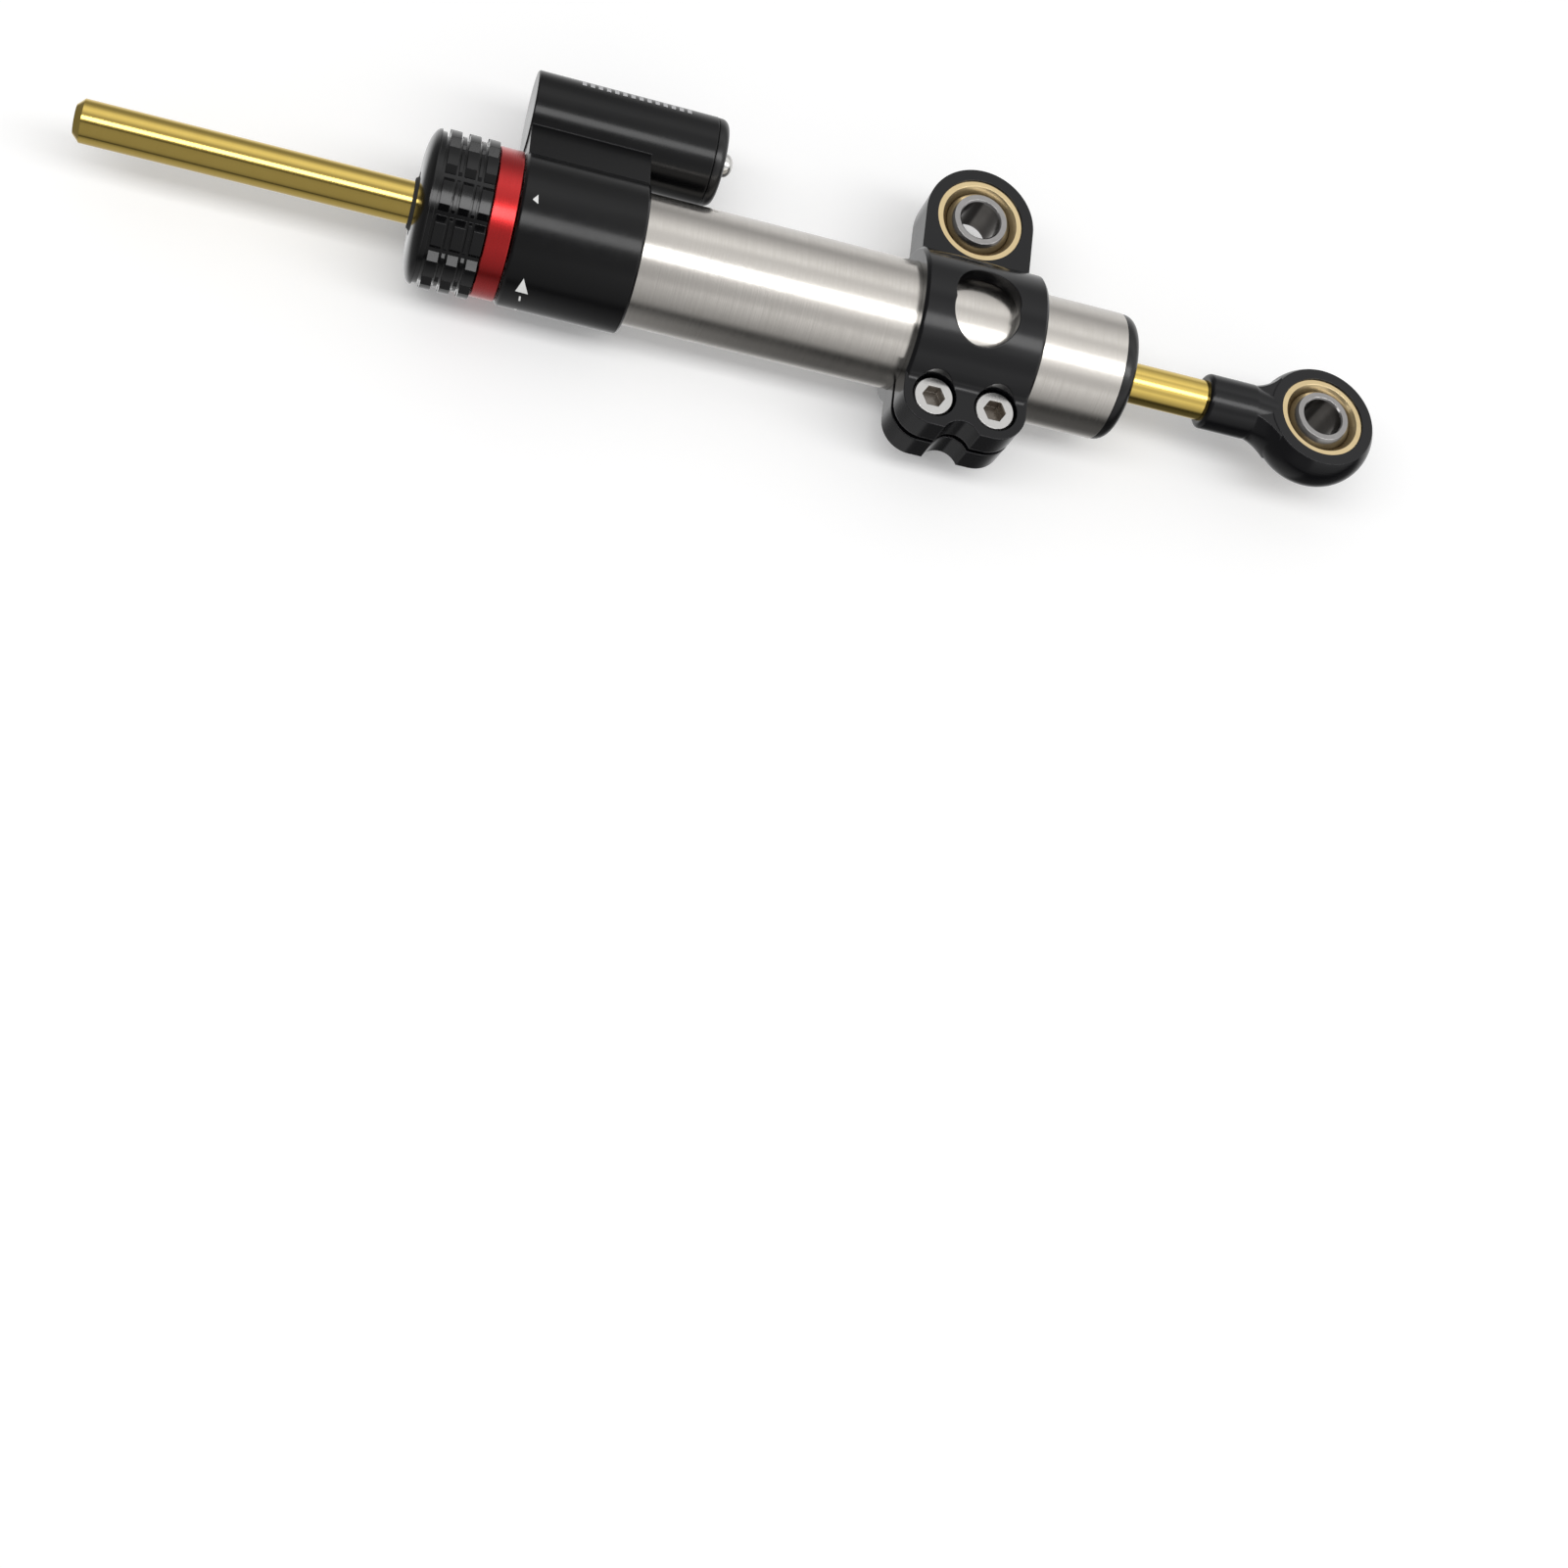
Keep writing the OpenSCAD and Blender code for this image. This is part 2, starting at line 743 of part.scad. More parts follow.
// Domed front, a quarter of an ellipse from the flat face to the grip
module knob_nose()
    turned(concat([[0, knob_x0]],
        [for (i = [0:12]) let (a = i * 90 / 12)
            [nose_flat + (pad_r - nose_inset - nose_flat) * sin(a),
                knob_x0 + nose_len * (1 - cos(a))]],
        [[0, knob_x0 + nose_len]]));

// Slots along the knob with sloping walls, which part the pads
module grip_valleys()
    for (i = [0:pad_count - 1])
        rotate([pad_turn(i + 0.5), 0, 0])
            translate([knob_x0 + nose_len + nose_rib, 0, 0])
                rotate([90, 0, 90])
                    linear_extrude(knob_len)
                        polygon([[core_r - eps, -valley_floor / 2],
                            [pad_r + valley_over, -valley_top / 2],
                            [pad_r + valley_over, valley_top / 2], [core_r - eps, valley_floor / 2]]);

module coloured_ring()
    color([0.78, 0.1, 0.12]) on_rod()
        difference() {
            chamfered_bar(band_d / 2, band_x0 + disc_gap, band_x1, head_chamfer / 2);
            bar(spool_r + seat_fit, band_x0 - 1, band_x1 + 1);
        }

// Hub and disc that the knob turns; the disc's pockets open the flow ports
module metering_sleeve()
    color("burlywood") on_rod()
        difference() {
            union() {
                bar(hub_r, hub_x0 + disc_gap, disc_x0 + eps);
                bar(disc_r, disc_x0, disc_x1);
            }
            bar(rod_r + free_fit, hub_x0 - 1, disc_x1 + 1);
            // Arc groove for the stop pin, with a land left between its ends
            difference() {
                pipe(stop_ring_r + stop_d / 2 + stop_play, stop_ring_r - stop_d / 2 - stop_play,
                    disc_x0 - 1, disc_x0 + stop_room);
                stop_land();
            }
            for (i = [0:3])
                rotate([45 + i * 90, 0, 0])
                    translate([0, (port_r + inner_port_r) / 2, 0])
                        bar(pocket_r, disc_x1 - pocket_t, disc_x1 + 1);
            pipe(hub_r + 1, hub_r - sleeve_oring_t, sleeve_oring_x - sleeve_groove,
                sleeve_oring_x + sleeve_groove);
            rotate([click_angle, 0, 0])
                translate([click_x, disc_r - click_depth, 0])
                    rotate([-90, 0, 0])
                        cylinder(d = click_d + 2 * click_hole_play, h = click_depth + 1);
        }

// Sector opposite the pin that the groove leaves standing
module stop_land()
    rotate([180, 0, 0])
        translate([disc_x0 - 2, 0, 0])
            rotate([90, 0, 90])
                linear_extrude(stop_room + 4)
                    polygon([[0, 0],
                        for (s = [-1, 1])
                            [2 * disc_r * sin(s * land_half), -2 * disc_r * cos(land_half)]]);

module sleeve_oring()
    color("black") on_rod()
        oring(hub_r - sleeve_oring_t, hub_r + run_fit / 2, sleeve_oring_x);

// Grub screws that lock the knob to its hub
module knob_screws()
    color("dimgray") on_rod()
        for (i = grub_pads)
            translate([grub_x, 0, 0])
                rotate([pad_turn(i) - 90, 0, 0])
                    translate([0, 0, hub_r + thread_play])
                        difference() {
                            cylinder(d = grub_d, h = grub_len);
                            translate([0, 0, grub_len])
                                key_socket(grub_hex, grub_len * key_share);
                        }

module detent_ball()
    color("silver") on_rod()
        rotate([click_angle, 0, 0])
            translate([click_x, click_r, 0])
                sphere(d = click_d);

// Coil spring under the click ball: one tube carried along a helix
module detent_spring()
    color("gray") on_rod()
        rotate([click_angle, 0, 0])
            translate([click_x, spring_y0, 0])
                rotate([-90, 0, 0])
                    helix(spring_r, spring_wire / 2, spring_y1 - spring_y0, spring_turns);

module helix(r, wire_r, height, turns) {
    steps = turns * spring_rings;
    points = [for (i = [0:steps]) let (a = 360 * i / spring_rings, z = height * i / steps)
        for (j = [0:spring_sides - 1]) let (b = 360 * j / spring_sides)
            [(r + wire_r * cos(b)) * cos(a), (r + wire_r * cos(b)) * sin(a),
                z + wire_r * sin(b)]];
    walls = [for (i = [0:steps - 1]) for (j = [0:spring_sides - 1])
        let (k = (j + 1) % spring_sides, p = i * spring_sides, q = p + spring_sides)
            for (face = [[p + j, q + j, p + k], [p + k, q + j, q + k]]) face];
    start = [for (j = [1:spring_sides - 2]) [0, j, j + 1]];
    last = steps * spring_sides;
    finish = [for (j = [1:spring_sides - 2]) [last, last + j + 1, last + j]];
    polyhedron(points, concat(walls, start, finish));
}

module front_wiper()
    color("black") on_rod()
        wiper(knob_x0, -1);

// Piston that slides in the inner tube, held on the rod by two circlips
module piston()
    color("lightgray") on_rod()
        difference() {
            chamfered_bar(cyl_in - run_fit, piston_x0, piston_x1, piston_chamfer);
            bar(rod_r + run_fit, piston_x0 - 1, piston_x1 + 1);
            pipe(cyl_in + 1, cyl_in - ring_depth, piston_mid - ring_w / 2 - run_fit,
                piston_mid + ring_w / 2 + run_fit);
            for (i = [0:3])
                rotate([i * 90, 0, 0])
                    translate([0, (rod_r + circlip_out + cyl_in - ring_depth) / 2, 0])
                        bar(bleed_d / 2, piston_x0 - 1, piston_x1 + 1);
        }

module piston_ring()
    color("sienna") on_rod()
        pipe(cyl_in - run_fit / 2, cyl_in - ring_depth + run_fit, piston_mid - ring_w / 2,
            piston_mid + ring_w / 2);

// Rod with a chamfered free end and a groove for each circlip
module rod()
    color([0.86, 0.75, 0.42]) on_rod()
        difference() {
            turned([[0, rod_x0], [rod_r - rod_chamfer, rod_x0], [rod_r, rod_x0 + rod_chamfer],
                [rod_r, rod_x1 - rod_chamfer], [rod_r - rod_chamfer, rod_x1], [0, rod_x1]]);
            for (x = circlip_at)
                pipe(rod_r + 1, rod_r - circlip_depth, x - eps, x + circlip_t + eps);
        }

module rod_circlips()
    color("dimgray") on_rod()
        for (x = circlip_at)
            difference() {
                pipe(rod_r + circlip_out, rod_r - circlip_depth + seat_fit, x, x + circlip_t);
                translate([x - 1, 0, 0])
                    rotate([90, 0, 90])
                        linear_extrude(circlip_t + 2)
                            polygon([[0, 0],
                                for (s = [-1, 1]) [s * tube_r * tan(circlip_mouth / 2), tube_r]]);
            }

// Shank, neck and barrel-shaped eye of the rod end
module rod_end()
    color([0.08, 0.08, 0.08]) at_rod_eye()
        difference() {
            union() {
                shank();
                neck();
                eye_barrel();
            }
            cylinder(r = race_d / 2 + seat_fit, h = 2 * rod_eye_t, center = true);
            bar(rod_r + seat_fit, -shank_len - 1, thread_len - shank_len + seat_fit);
        }

// Round shank with a lip at its mouth, drawn in as it runs into the eye
module shank()
    turned(concat([[0, -shank_len]],
        arc(shank_r - shank_round, shank_round - shank_len, shank_round, -90, 0, 6),
        [[shank_r, -rod_eye_r - neck_blend / 2], [neck_h, -rod_eye_r + neck_blend],
            [0, -rod_eye_r + neck_blend]]));

// Neck that flares from the shank to the eye, turned and then milled flat on both sides
module neck()
    intersection() {
        turned(concat([[0, neck_x]],
            arc(neck_y0 + neck_r, neck_x, neck_r, 180, 180 - neck_turn, 12), [[0, neck_end]]));
        translate([-shank_len, -rod_eye_r, -neck_h])
            cube([shank_len, 2 * rod_eye_r, 2 * neck_h]);
    }

// Eye with flat faces and a rounded rim
module eye_barrel()
    rotate_extrude()
        polygon(concat([[0, -rod_eye_t / 2]],
            [for (i = [-barrel_steps:barrel_steps]) let (z = i / barrel_steps * rod_eye_t / 2)
                [rod_eye_r - barrel_r + sqrt(pow(barrel_r, 2) - pow(z, 2)), z]],
            [[0, rod_eye_t / 2]]));

// Plain outer ring of a spherical bearing, seated on its ball
module race()
    difference() {
        cylinder(r = race_d / 2, h = race_w, center = true);
        sphere(r = ball_d / 2 + run_fit);
        for (s = [-1, 1])
            translate([0, 0, s * race_w / 2])
                cylinder(h = 2 * flare_depth, r1 = mouth_r - s * flare_depth * flare_slope,
                    r2 = mouth_r + s * flare_depth * flare_slope, center = true);
    }

// Ball with flat faces and a plain bore, chamfered at both ends
module ball()
    difference() {
        intersection() {
            sphere(r = ball_d / 2);
            cylinder(r = ball_d, h = ball_w, center = true);
        }
        cylinder(r = ball_bore / 2, h = 2 * ball_w, center = true);
        for (s = [0, 180])
            rotate([s, 0, 0])
                translate([0, 0, ball_w / 2 - ball_chamfer])
                    cylinder(r1 = ball_bore / 2, r2 = ball_bore / 2 + 2 * ball_chamfer,
                        h = 2 * ball_chamfer);
    }

module rod_end_race()
    color([0.9, 0.78, 0.5]) at_rod_eye()
        race();

module rod_end_ball()
    color("gray") at_rod_eye()
        ball();

// Split band with the body eye's lug on one side and two screwed ears on the other
module clamp()
    color([0.09, 0.09, 0.1]) on_rod()
        difference() {
            union() {
                chamfered_bar(clamp_d / 2, -clamp_w / 2, clamp_w / 2, clamp_chamfer);
                lug();
                ears();
                inner_corner(-1, ear_h, ear_fillet, clamp_w / 2 - clamp_chamfer);
                inner_corner(1, lug_t / 2, lug_fillet, lug_r);
            }
            bar(tube_r + run_fit, -clamp_w, clamp_w);
            translate([0, eye_offset, 0])
                cylinder(r = race_d / 2 + seat_fit, h = 2 * lug_t, center = true);
            window();
            translate([-clamp_w, -2 * clamp_d, -split / 2])
                cube([2 * clamp_w, 2 * clamp_d, split]);
            screw_holes();
        }

module lug()
    translate([0, 0, -lug_t / 2]) {
        translate([0, eye_offset, 0])
            cylinder(r = lug_r, h = lug_t);
        translate([-lug_r, 0, 0])
            cube([2 * lug_r, eye_offset, lug_t]);
    }

// Rounded inner corner where a flat of height h runs into the band, above and below
module inner_corner(side, h, r, half_len) {
    band_r = clamp_d / 2;
    mid = [side * sqrt(pow(band_r + r, 2) - pow(h + r, 2)), h + r];
    for (s = [0, 1])
        mirror([0, 0, s])
            translate([-half_len, 0, 0])
                rotate([90, 0, 90])
                    linear_extrude(2 * half_len)
                        polygon(concat(
                            arc(mid[0], mid[1], r, atan2(-mid[1], -mid[0]), -90, 8),
                            [[mid[0], h - fillet_sink],
                                [side * (sqrt(pow(band_r, 2) - pow(h, 2)) - fillet_sink), h - fillet_sink],
                                (band_r - fillet_sink) / (band_r + r) * mid]));
}

// Two round lobes, filled between them down to a shallow dip
module ears()
    translate([0, -screw_y, -ear_h])
        linear_extrude(2 * ear_h)
            difference() {
                union() {
                    for (s = [-1, 1])
                        translate([s * screw_pitch / 2, 0])
                            circle(r = lobe_r);
                    translate([-screw_pitch / 2 - lobe_r, 0])
                        square([screw_pitch + 2 * lobe_r, screw_y - ear_root]);
                    translate([-screw_pitch / 2, -lobe_r])
                        square([screw_pitch, 2 * lobe_r]);
                }
                translate([0, -lobe_r + dip_depth - dip_r])
                    circle(r = dip_r);
            }

// Oval window through the top of the band
module window()
    for (s = [-1, 1])
        translate([0, s * (window_y - window_x) / 2, 0])
            cylinder(d = window_x, h = clamp_d);

module screw_holes()
    for (s = [-1, 1])
        translate([s * screw_pitch / 2, -screw_y, 0]) {
            translate([0, 0, screw_seat])
                cylinder(r = screw_head_d / 2 + cbore_play, h = ear_h);
            cylinder(r = screw_d / 2 + hole_play, h = ear_h + 1);
            translate([0, 0, -ear_h - 1])
                cylinder(r = screw_d / 2 + thread_play, h = ear_h + 1);
        }

module clamp_screws()
    color("silver") on_rod()
        for (s = [-1, 1])
            translate([s * screw_pitch / 2, -screw_y, 0])
                difference() {
                    union() {
                        rotate_extrude()
                            polygon([[0, screw_seat], [screw_head_d / 2, screw_seat],
                                [screw_head_d / 2, screw_seat + screw_head_h - screw_edge],
                                [screw_head_d / 2 - screw_edge, screw_seat + screw_head_h],
                                [0, screw_seat + screw_head_h]]);
                        translate([0, 0, -ear_h + ear_screw_out])
                            cylinder(r = screw_d / 2, h = ear_h + screw_seat);
                    }
                    translate([0, 0, screw_seat + screw_head_h])
                        key_socket(screw_hex, screw_head_h * key_share);
                }

module clamp_race()
    color([0.9, 0.78, 0.5])
        race();

module clamp_ball()
    color("gray")
        ball();

outer_tube();
inner_tube();
head();
head_oring();
front_guide();
rear_guide();
guide_orings();
rod_seals();
retaining_ring();
end_cap();
cap_oring();
rear_wiper();
reservoir_cap();
reservoir_oring();
bleed_screw();
stop_pin();
floating_piston();
floating_oring();
knob();
coloured_ring();
metering_sleeve();
sleeve_oring();
knob_screws();
detent_ball();
detent_spring();
front_wiper();
piston();
piston_ring();
rod();
rod_circlips();
rod_end();
rod_end_race();
rod_end_ball();
clamp();
clamp_race();
clamp_screws();
clamp_ball();
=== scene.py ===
"""Looks of a motorcycle steering damper: studio, camera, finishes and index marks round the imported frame."""

import logging
import math
from dataclasses import dataclass, field
from enum import Enum

import bpy
import numpy as np
from mathutils import Matrix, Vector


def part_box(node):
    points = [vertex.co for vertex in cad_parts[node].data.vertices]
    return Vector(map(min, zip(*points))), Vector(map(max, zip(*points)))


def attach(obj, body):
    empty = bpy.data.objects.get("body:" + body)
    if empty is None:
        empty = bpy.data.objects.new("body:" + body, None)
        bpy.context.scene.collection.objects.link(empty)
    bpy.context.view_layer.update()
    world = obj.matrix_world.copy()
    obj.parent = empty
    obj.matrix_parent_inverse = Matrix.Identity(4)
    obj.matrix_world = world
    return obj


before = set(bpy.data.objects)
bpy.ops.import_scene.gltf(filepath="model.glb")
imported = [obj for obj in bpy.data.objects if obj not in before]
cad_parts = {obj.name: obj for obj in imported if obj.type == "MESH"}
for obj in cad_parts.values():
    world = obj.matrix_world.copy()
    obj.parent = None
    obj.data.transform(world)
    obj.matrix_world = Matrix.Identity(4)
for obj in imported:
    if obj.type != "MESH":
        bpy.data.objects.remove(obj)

log = logging.getLogger("steering_damper")

Colour = tuple[float, float, float]

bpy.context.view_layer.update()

MIX_INPUTS = (0, 6, 7)
MIX_RESULT = 2
BEVEL_SAMPLES = 6
BUMP_DISTANCE = 0.00002
MM = 0.001


class Lay(Enum):
    """Which way the fine machining lines of a finish run."""

    AROUND_X = (5200.0, 60.0, 60.0)
    AROUND_Z = (60.0, 60.0, 5200.0)
    EVEN = (900.0, 900.0, 900.0)
    BLASTED = (4200.0, 4200.0, 4200.0)


@dataclass
class NodeSheet:
    """Places nodes in one tree and joins their sockets."""

    tree: bpy.types.NodeTree

    def add(self, kind: str, **settings: object) -> bpy.types.Node:
        """Adds a node.

        Args:
            kind: Blender's name of the node type.
            settings: properties set on the node.

        Returns:
            The new node.
        """
        node = self.tree.nodes.new(kind)
        for name, value in settings.items():
            setattr(node, name, value)
        return node

    def join(self, out: bpy.types.NodeSocket, into: bpy.types.NodeSocket) -> None:
        """Joins an output to an input."""
        self.tree.links.new(out, into)

    def math(
        self, operation: str, first: object, second: object = 0.0, clamp: bool = False
    ) -> bpy.types.NodeSocket:
        """Adds a Math node.

        Args:
            operation: the operation's name.
            first: a socket or a number.
            second: a socket or a number.
            clamp: keeps the result between 0 and 1.

        Returns:
            The node's output.
        """
        node = self.add("ShaderNodeMath", operation=operation, use_clamp=clamp)
        for slot, value in enumerate((first, second)):
            if isinstance(value, bpy.types.NodeSocket):
                self.join(value, node.inputs[slot])
            else:
                node.inputs[slot].default_value = value
        return node.outputs[0]

    def blend(self, factor: object, first: object, second: object) -> bpy.types.NodeSocket:
        """Blends two colours.

        Args:
            factor: share of the second colour, a socket or a number.
            first: a socket or a colour.
            second: a socket or a colour.

        Returns:
            The blended colour's output.
        """
        node = self.add("ShaderNodeMix", data_type="RGBA")
        for slot, value in zip(MIX_INPUTS, (factor, first, second)):
            if isinstance(value, bpy.types.NodeSocket):
                self.join(value, node.inputs[slot])
            elif isinstance(value, tuple):
                node.inputs[slot].default_value = (*value, 1.0)
            else:
                node.inputs[slot].default_value = value
        return node.outputs[MIX_RESULT]


@dataclass
class SharedEffects:
    """Node groups that several finishes place with their own values."""

    lines: bpy.types.NodeTree = field(init=False)
    mottle: bpy.types.NodeTree = field(init=False)
    rim: bpy.types.NodeTree = field(init=False)

    def __post_init__(self) -> None:
        """Builds the three groups once."""
        self.lines = self._machining_lines()
        self.mottle = self._mottle()
        self.rim = self._edge_wear_and_highlight()

    @staticmethod
    def _new_group(name: str, inputs: dict[str, str], outputs: dict[str, str]) -> tuple:
        """Starts a group with named sockets.

        Args:
            name: the group's name.
            inputs: input names and their socket types.
            outputs: output names and their socket types.

        Returns:
            The tree, its sheet, its input node and its output node.
        """
        tree = bpy.data.node_groups.new(name, "ShaderNodeTree")
        for label, kind in inputs.items():
            tree.interface.new_socket(label, in_out="INPUT", socket_type=kind)
        for label, kind in outputs.items():
            tree.interface.new_socket(label, in_out="OUTPUT", socket_type=kind)
        sheet = NodeSheet(tree)
        return tree, sheet, sheet.add("NodeGroupInput"), sheet.add("NodeGroupOutput")

    def _machining_lines(self) -> bpy.types.NodeTree:
        """Fine lines: noise on coordinates stretched by the lay, as a mask and as a height."""
        tree, sheet, start, end = self._new_group(
            "machining_lines",
            {"Vector": "NodeSocketVector", "Lay": "NodeSocketVector"},
            {"Mask": "NodeSocketFloat", "Height": "NodeSocketFloat"},
        )
        spread = sheet.add("ShaderNodeVectorMath", operation="MULTIPLY")
        sheet.join(start.outputs["Vector"], spread.inputs[0])
        sheet.join(start.outputs["Lay"], spread.inputs[1])
        noise = sheet.add("ShaderNodeTexNoise", noise_dimensions="3D")
        noise.inputs["Scale"].default_value = 1.0
        noise.inputs["Detail"].default_value = 4.0
        noise.inputs["Roughness"].default_value = 0.62
        sheet.join(spread.outputs[0], noise.inputs["Vector"])
        centred = sheet.math("SUBTRACT", noise.outputs[0], 0.5)
        wide = sheet.math("MULTIPLY", centred, 2.4)
        mask = sheet.math("ADD", wide, 0.5, clamp=True)
        sheet.join(mask, end.inputs["Mask"])
        sheet.join(noise.outputs[0], end.inputs["Height"])
        return tree

    def _mottle(self) -> bpy.types.NodeTree:
        """Handling marks: two sizes of cloud noise multiplied into one soft mask."""
        tree, sheet, start, end = self._new_group(
            "handling_mottle",
            {"Vector": "NodeSocketVector", "Size": "NodeSocketFloat"},
            {"Mask": "NodeSocketFloat"},
        )
        broad = sheet.add("ShaderNodeTexNoise")
        broad.inputs["Detail"].default_value = 3.0
        fine = sheet.add("ShaderNodeTexNoise")
        fine.inputs["Detail"].default_value = 5.0
        sheet.join(start.outputs["Vector"], broad.inputs["Vector"])
        sheet.join(start.outputs["Vector"], fine.inputs["Vector"])
        sheet.join(start.outputs["Size"], broad.inputs["Scale"])
        sheet.join(sheet.math("MULTIPLY", start.outputs["Size"], 7.0), fine.inputs["Scale"])
        both = sheet.math("MULTIPLY", broad.outputs[0], fine.outputs[0])
        sheet.join(sheet.math("MULTIPLY", both, 2.6, clamp=True), end.inputs["Mask"])
        return tree

    def _edge_wear_and_highlight(self) -> bpy.types.NodeTree:
        """Edges: one minus the dot product of the rounded and the flat normal, raised to a mask."""
        tree, sheet, start, end = self._new_group(
            "edge_wear_and_highlight",
            {"Rounded": "NodeSocketVector", "Flat": "NodeSocketVector", "Mottle": "NodeSocketFloat"},
            {"Mask": "NodeSocketFloat"},
        )
        dot = sheet.add("ShaderNodeVectorMath", operation="DOT_PRODUCT")
        sheet.join(start.outputs["Rounded"], dot.inputs[0])
        sheet.join(start.outputs["Flat"], dot.inputs[1])
        gap = sheet.math("SUBTRACT", 1.0, dot.outputs["Value"])
        steep = sheet.math("MULTIPLY", gap, 6.0, clamp=True)
        broken = sheet.math("ADD", sheet.math("MULTIPLY", start.outputs["Mottle"], 0.7), 0.3)
        sheet.join(sheet.math("MULTIPLY", steep, broken, clamp=True), end.inputs["Mask"])
        return tree


@dataclass(frozen=True)
class Recess:
    """A slab of space between two faces, inside which oil and dirt darken a piece.

    A point's distance from the middle plane is its dot product with the plane's normal, less the plane's
    own. The painted shade is full where that distance is less than the reach by more than the fade.
    """

    normal: tuple[float, float, float]
    middle: float
    reach: float
    fade: float = 0.0003

    def mask(self, sheet: NodeSheet, place: bpy.types.NodeSocket) -> bpy.types.NodeSocket:
        """Adds the nodes of the mask.

        Args:
            sheet: the material's nodes.
            place: object coordinates.

        Returns:
            The mask, 1 in the recess.
        """
        dot = sheet.add("ShaderNodeVectorMath", operation="DOT_PRODUCT")
        sheet.join(place, dot.inputs[0])
        dot.inputs[1].default_value = self.normal
        away = sheet.math("ABSOLUTE", sheet.math("SUBTRACT", dot.outputs["Value"], self.middle))
        return sheet.math("DIVIDE", sheet.math("SUBTRACT", self.reach, away), self.fade, clamp=True)


@dataclass(frozen=True)
class Finish:
    """One finish, from which one procedural material is made."""

    name: str
    colour: Colour
    shade: Colour
    worn_and_highlight: Colour
    metallic: float = 1.0
    roughness: float = 0.25
    line_rough: float = 0.05
    mottle_rough: float = 0.06
    line_tint: float = 0.25
    mottle_tint: float = 0.35
    wear_and_highlight: float = 0.3
    lay: Lay = Lay.AROUND_X
    relief: float = 0.15
    edge_mm: float = 0.15
    mottle_size: float = 60.0
    coat: float = 0.0
    coat_roughness: float = 0.1
    specular: float = 0.5
    # Dark colour of the painted shade inside the recess.
    recess_shade: Colour = (0.15, 0.12, 0.09)
    recess: Recess | None = None

    def material(self, shared: SharedEffects) -> bpy.types.Material:
        """Builds the material.

        Args:
            shared: the node groups.

        Returns:
            The finished material.
        """
        made = bpy.data.materials.new(self.name)
        made.use_nodes = True
        sheet = NodeSheet(made.node_tree)
        shader = made.node_tree.nodes["Principled BSDF"]
        shader.inputs["Metallic"].default_value = self.metallic
        shader.inputs["Specular IOR Level"].default_value = self.specular
        shader.inputs["Coat Weight"].default_value = self.coat
        shader.inputs["Coat Roughness"].default_value = self.coat_roughness
        place = sheet.add("ShaderNodeTexCoord").outputs["Object"]
        lines = sheet.add("ShaderNodeGroup", node_tree=shared.lines)
        lines.inputs["Lay"].default_value = self.lay.value
        sheet.join(place, lines.inputs["Vector"])
        mottle = sheet.add("ShaderNodeGroup", node_tree=shared.mottle)
        mottle.inputs["Size"].default_value = self.mottle_size
        sheet.join(place, mottle.inputs["Vector"])
        rounded = sheet.add("ShaderNodeBevel", samples=BEVEL_SAMPLES)
        rounded.inputs["Radius"].default_value = self.edge_mm * MM
        flat = sheet.add("ShaderNodeNewGeometry")
        rim = sheet.add("ShaderNodeGroup", node_tree=shared.rim)
        sheet.join(rounded.outputs[0], rim.inputs["Rounded"])
        sheet.join(flat.outputs["Normal"], rim.inputs["Flat"])
        sheet.join(mottle.outputs["Mask"], rim.inputs["Mottle"])
        line_share = sheet.math("MULTIPLY", lines.outputs["Mask"], self.line_tint)
        lined = sheet.blend(line_share, self.colour, self.shade)
        mottle_share = sheet.math("MULTIPLY", mottle.outputs["Mask"], self.mottle_tint)
        toned = sheet.blend(mottle_share, lined, self.shade)
        # Edge colour: wear, and on the bearing balls also a painted highlight.
        edged = sheet.blend(sheet.math("MULTIPLY", rim.outputs["Mask"], self.wear_and_highlight), toned, self.worn_and_highlight)
        # Painted shade: inside the recess the colour is blended towards a dark colour, broken up by the
        # mottle.
        if self.recess is not None:
            recess_shade_mask = self.recess.mask(sheet, place)
            broken = sheet.math("ADD", sheet.math("MULTIPLY", mottle.outputs["Mask"], 0.35), 0.75, clamp=True)
            edged = sheet.blend(sheet.math("MULTIPLY", recess_shade_mask, broken), edged, self.recess_shade)
        sheet.join(edged, shader.inputs["Base Color"])
        line_swing = sheet.math("SUBTRACT", lines.outputs["Mask"], 0.5)
        by_line = sheet.math("MULTIPLY", line_swing, self.line_rough)
        mottle_swing = sheet.math("SUBTRACT", mottle.outputs["Mask"], 0.5)
        by_mottle = sheet.math("MULTIPLY", mottle_swing, self.mottle_rough)
        spread = sheet.math("ADD", by_line, by_mottle)
        sheet.join(sheet.math("ADD", spread, self.roughness, clamp=True), shader.inputs["Roughness"])
        bump = sheet.add("ShaderNodeBump")
        bump.inputs["Strength"].default_value = self.relief
        bump.inputs["Distance"].default_value = BUMP_DISTANCE
        sheet.join(lines.outputs["Height"], bump.inputs["Height"])
        sheet.join(rounded.outputs[0], bump.inputs["Normal"])
        sheet.join(bump.outputs[0], shader.inputs["Normal"])
        return made


STEEL_SHADE: Colour = (0.56, 0.53, 0.49)
WHITE_WORN: Colour = (0.80, 0.79, 0.77)

UP: tuple[float, float, float] = (0.0, 0.0, 1.0)
ROD_EYE_UP: tuple[float, float, float] = (0.0, 0.104528, 0.994522)
ROD_EYE_MIDDLE: float = -0.0244 * 0.104528
SCREW_TOP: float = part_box("clamp_screws")[1][2]
RACE_HALF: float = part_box("clamp_race")[1][2]
BALL_HALF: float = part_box("clamp_ball")[1][2]
# Grey of the painted shade below the balls' flat faces and in their bores.
BALL_RECESS_SHADE: Colour = (0.15, 0.14, 0.13)
# Brown of the painted shade inside the races' flared mouths.
RACE_RECESS_SHADE: Colour = (0.36, 0.25, 0.11)


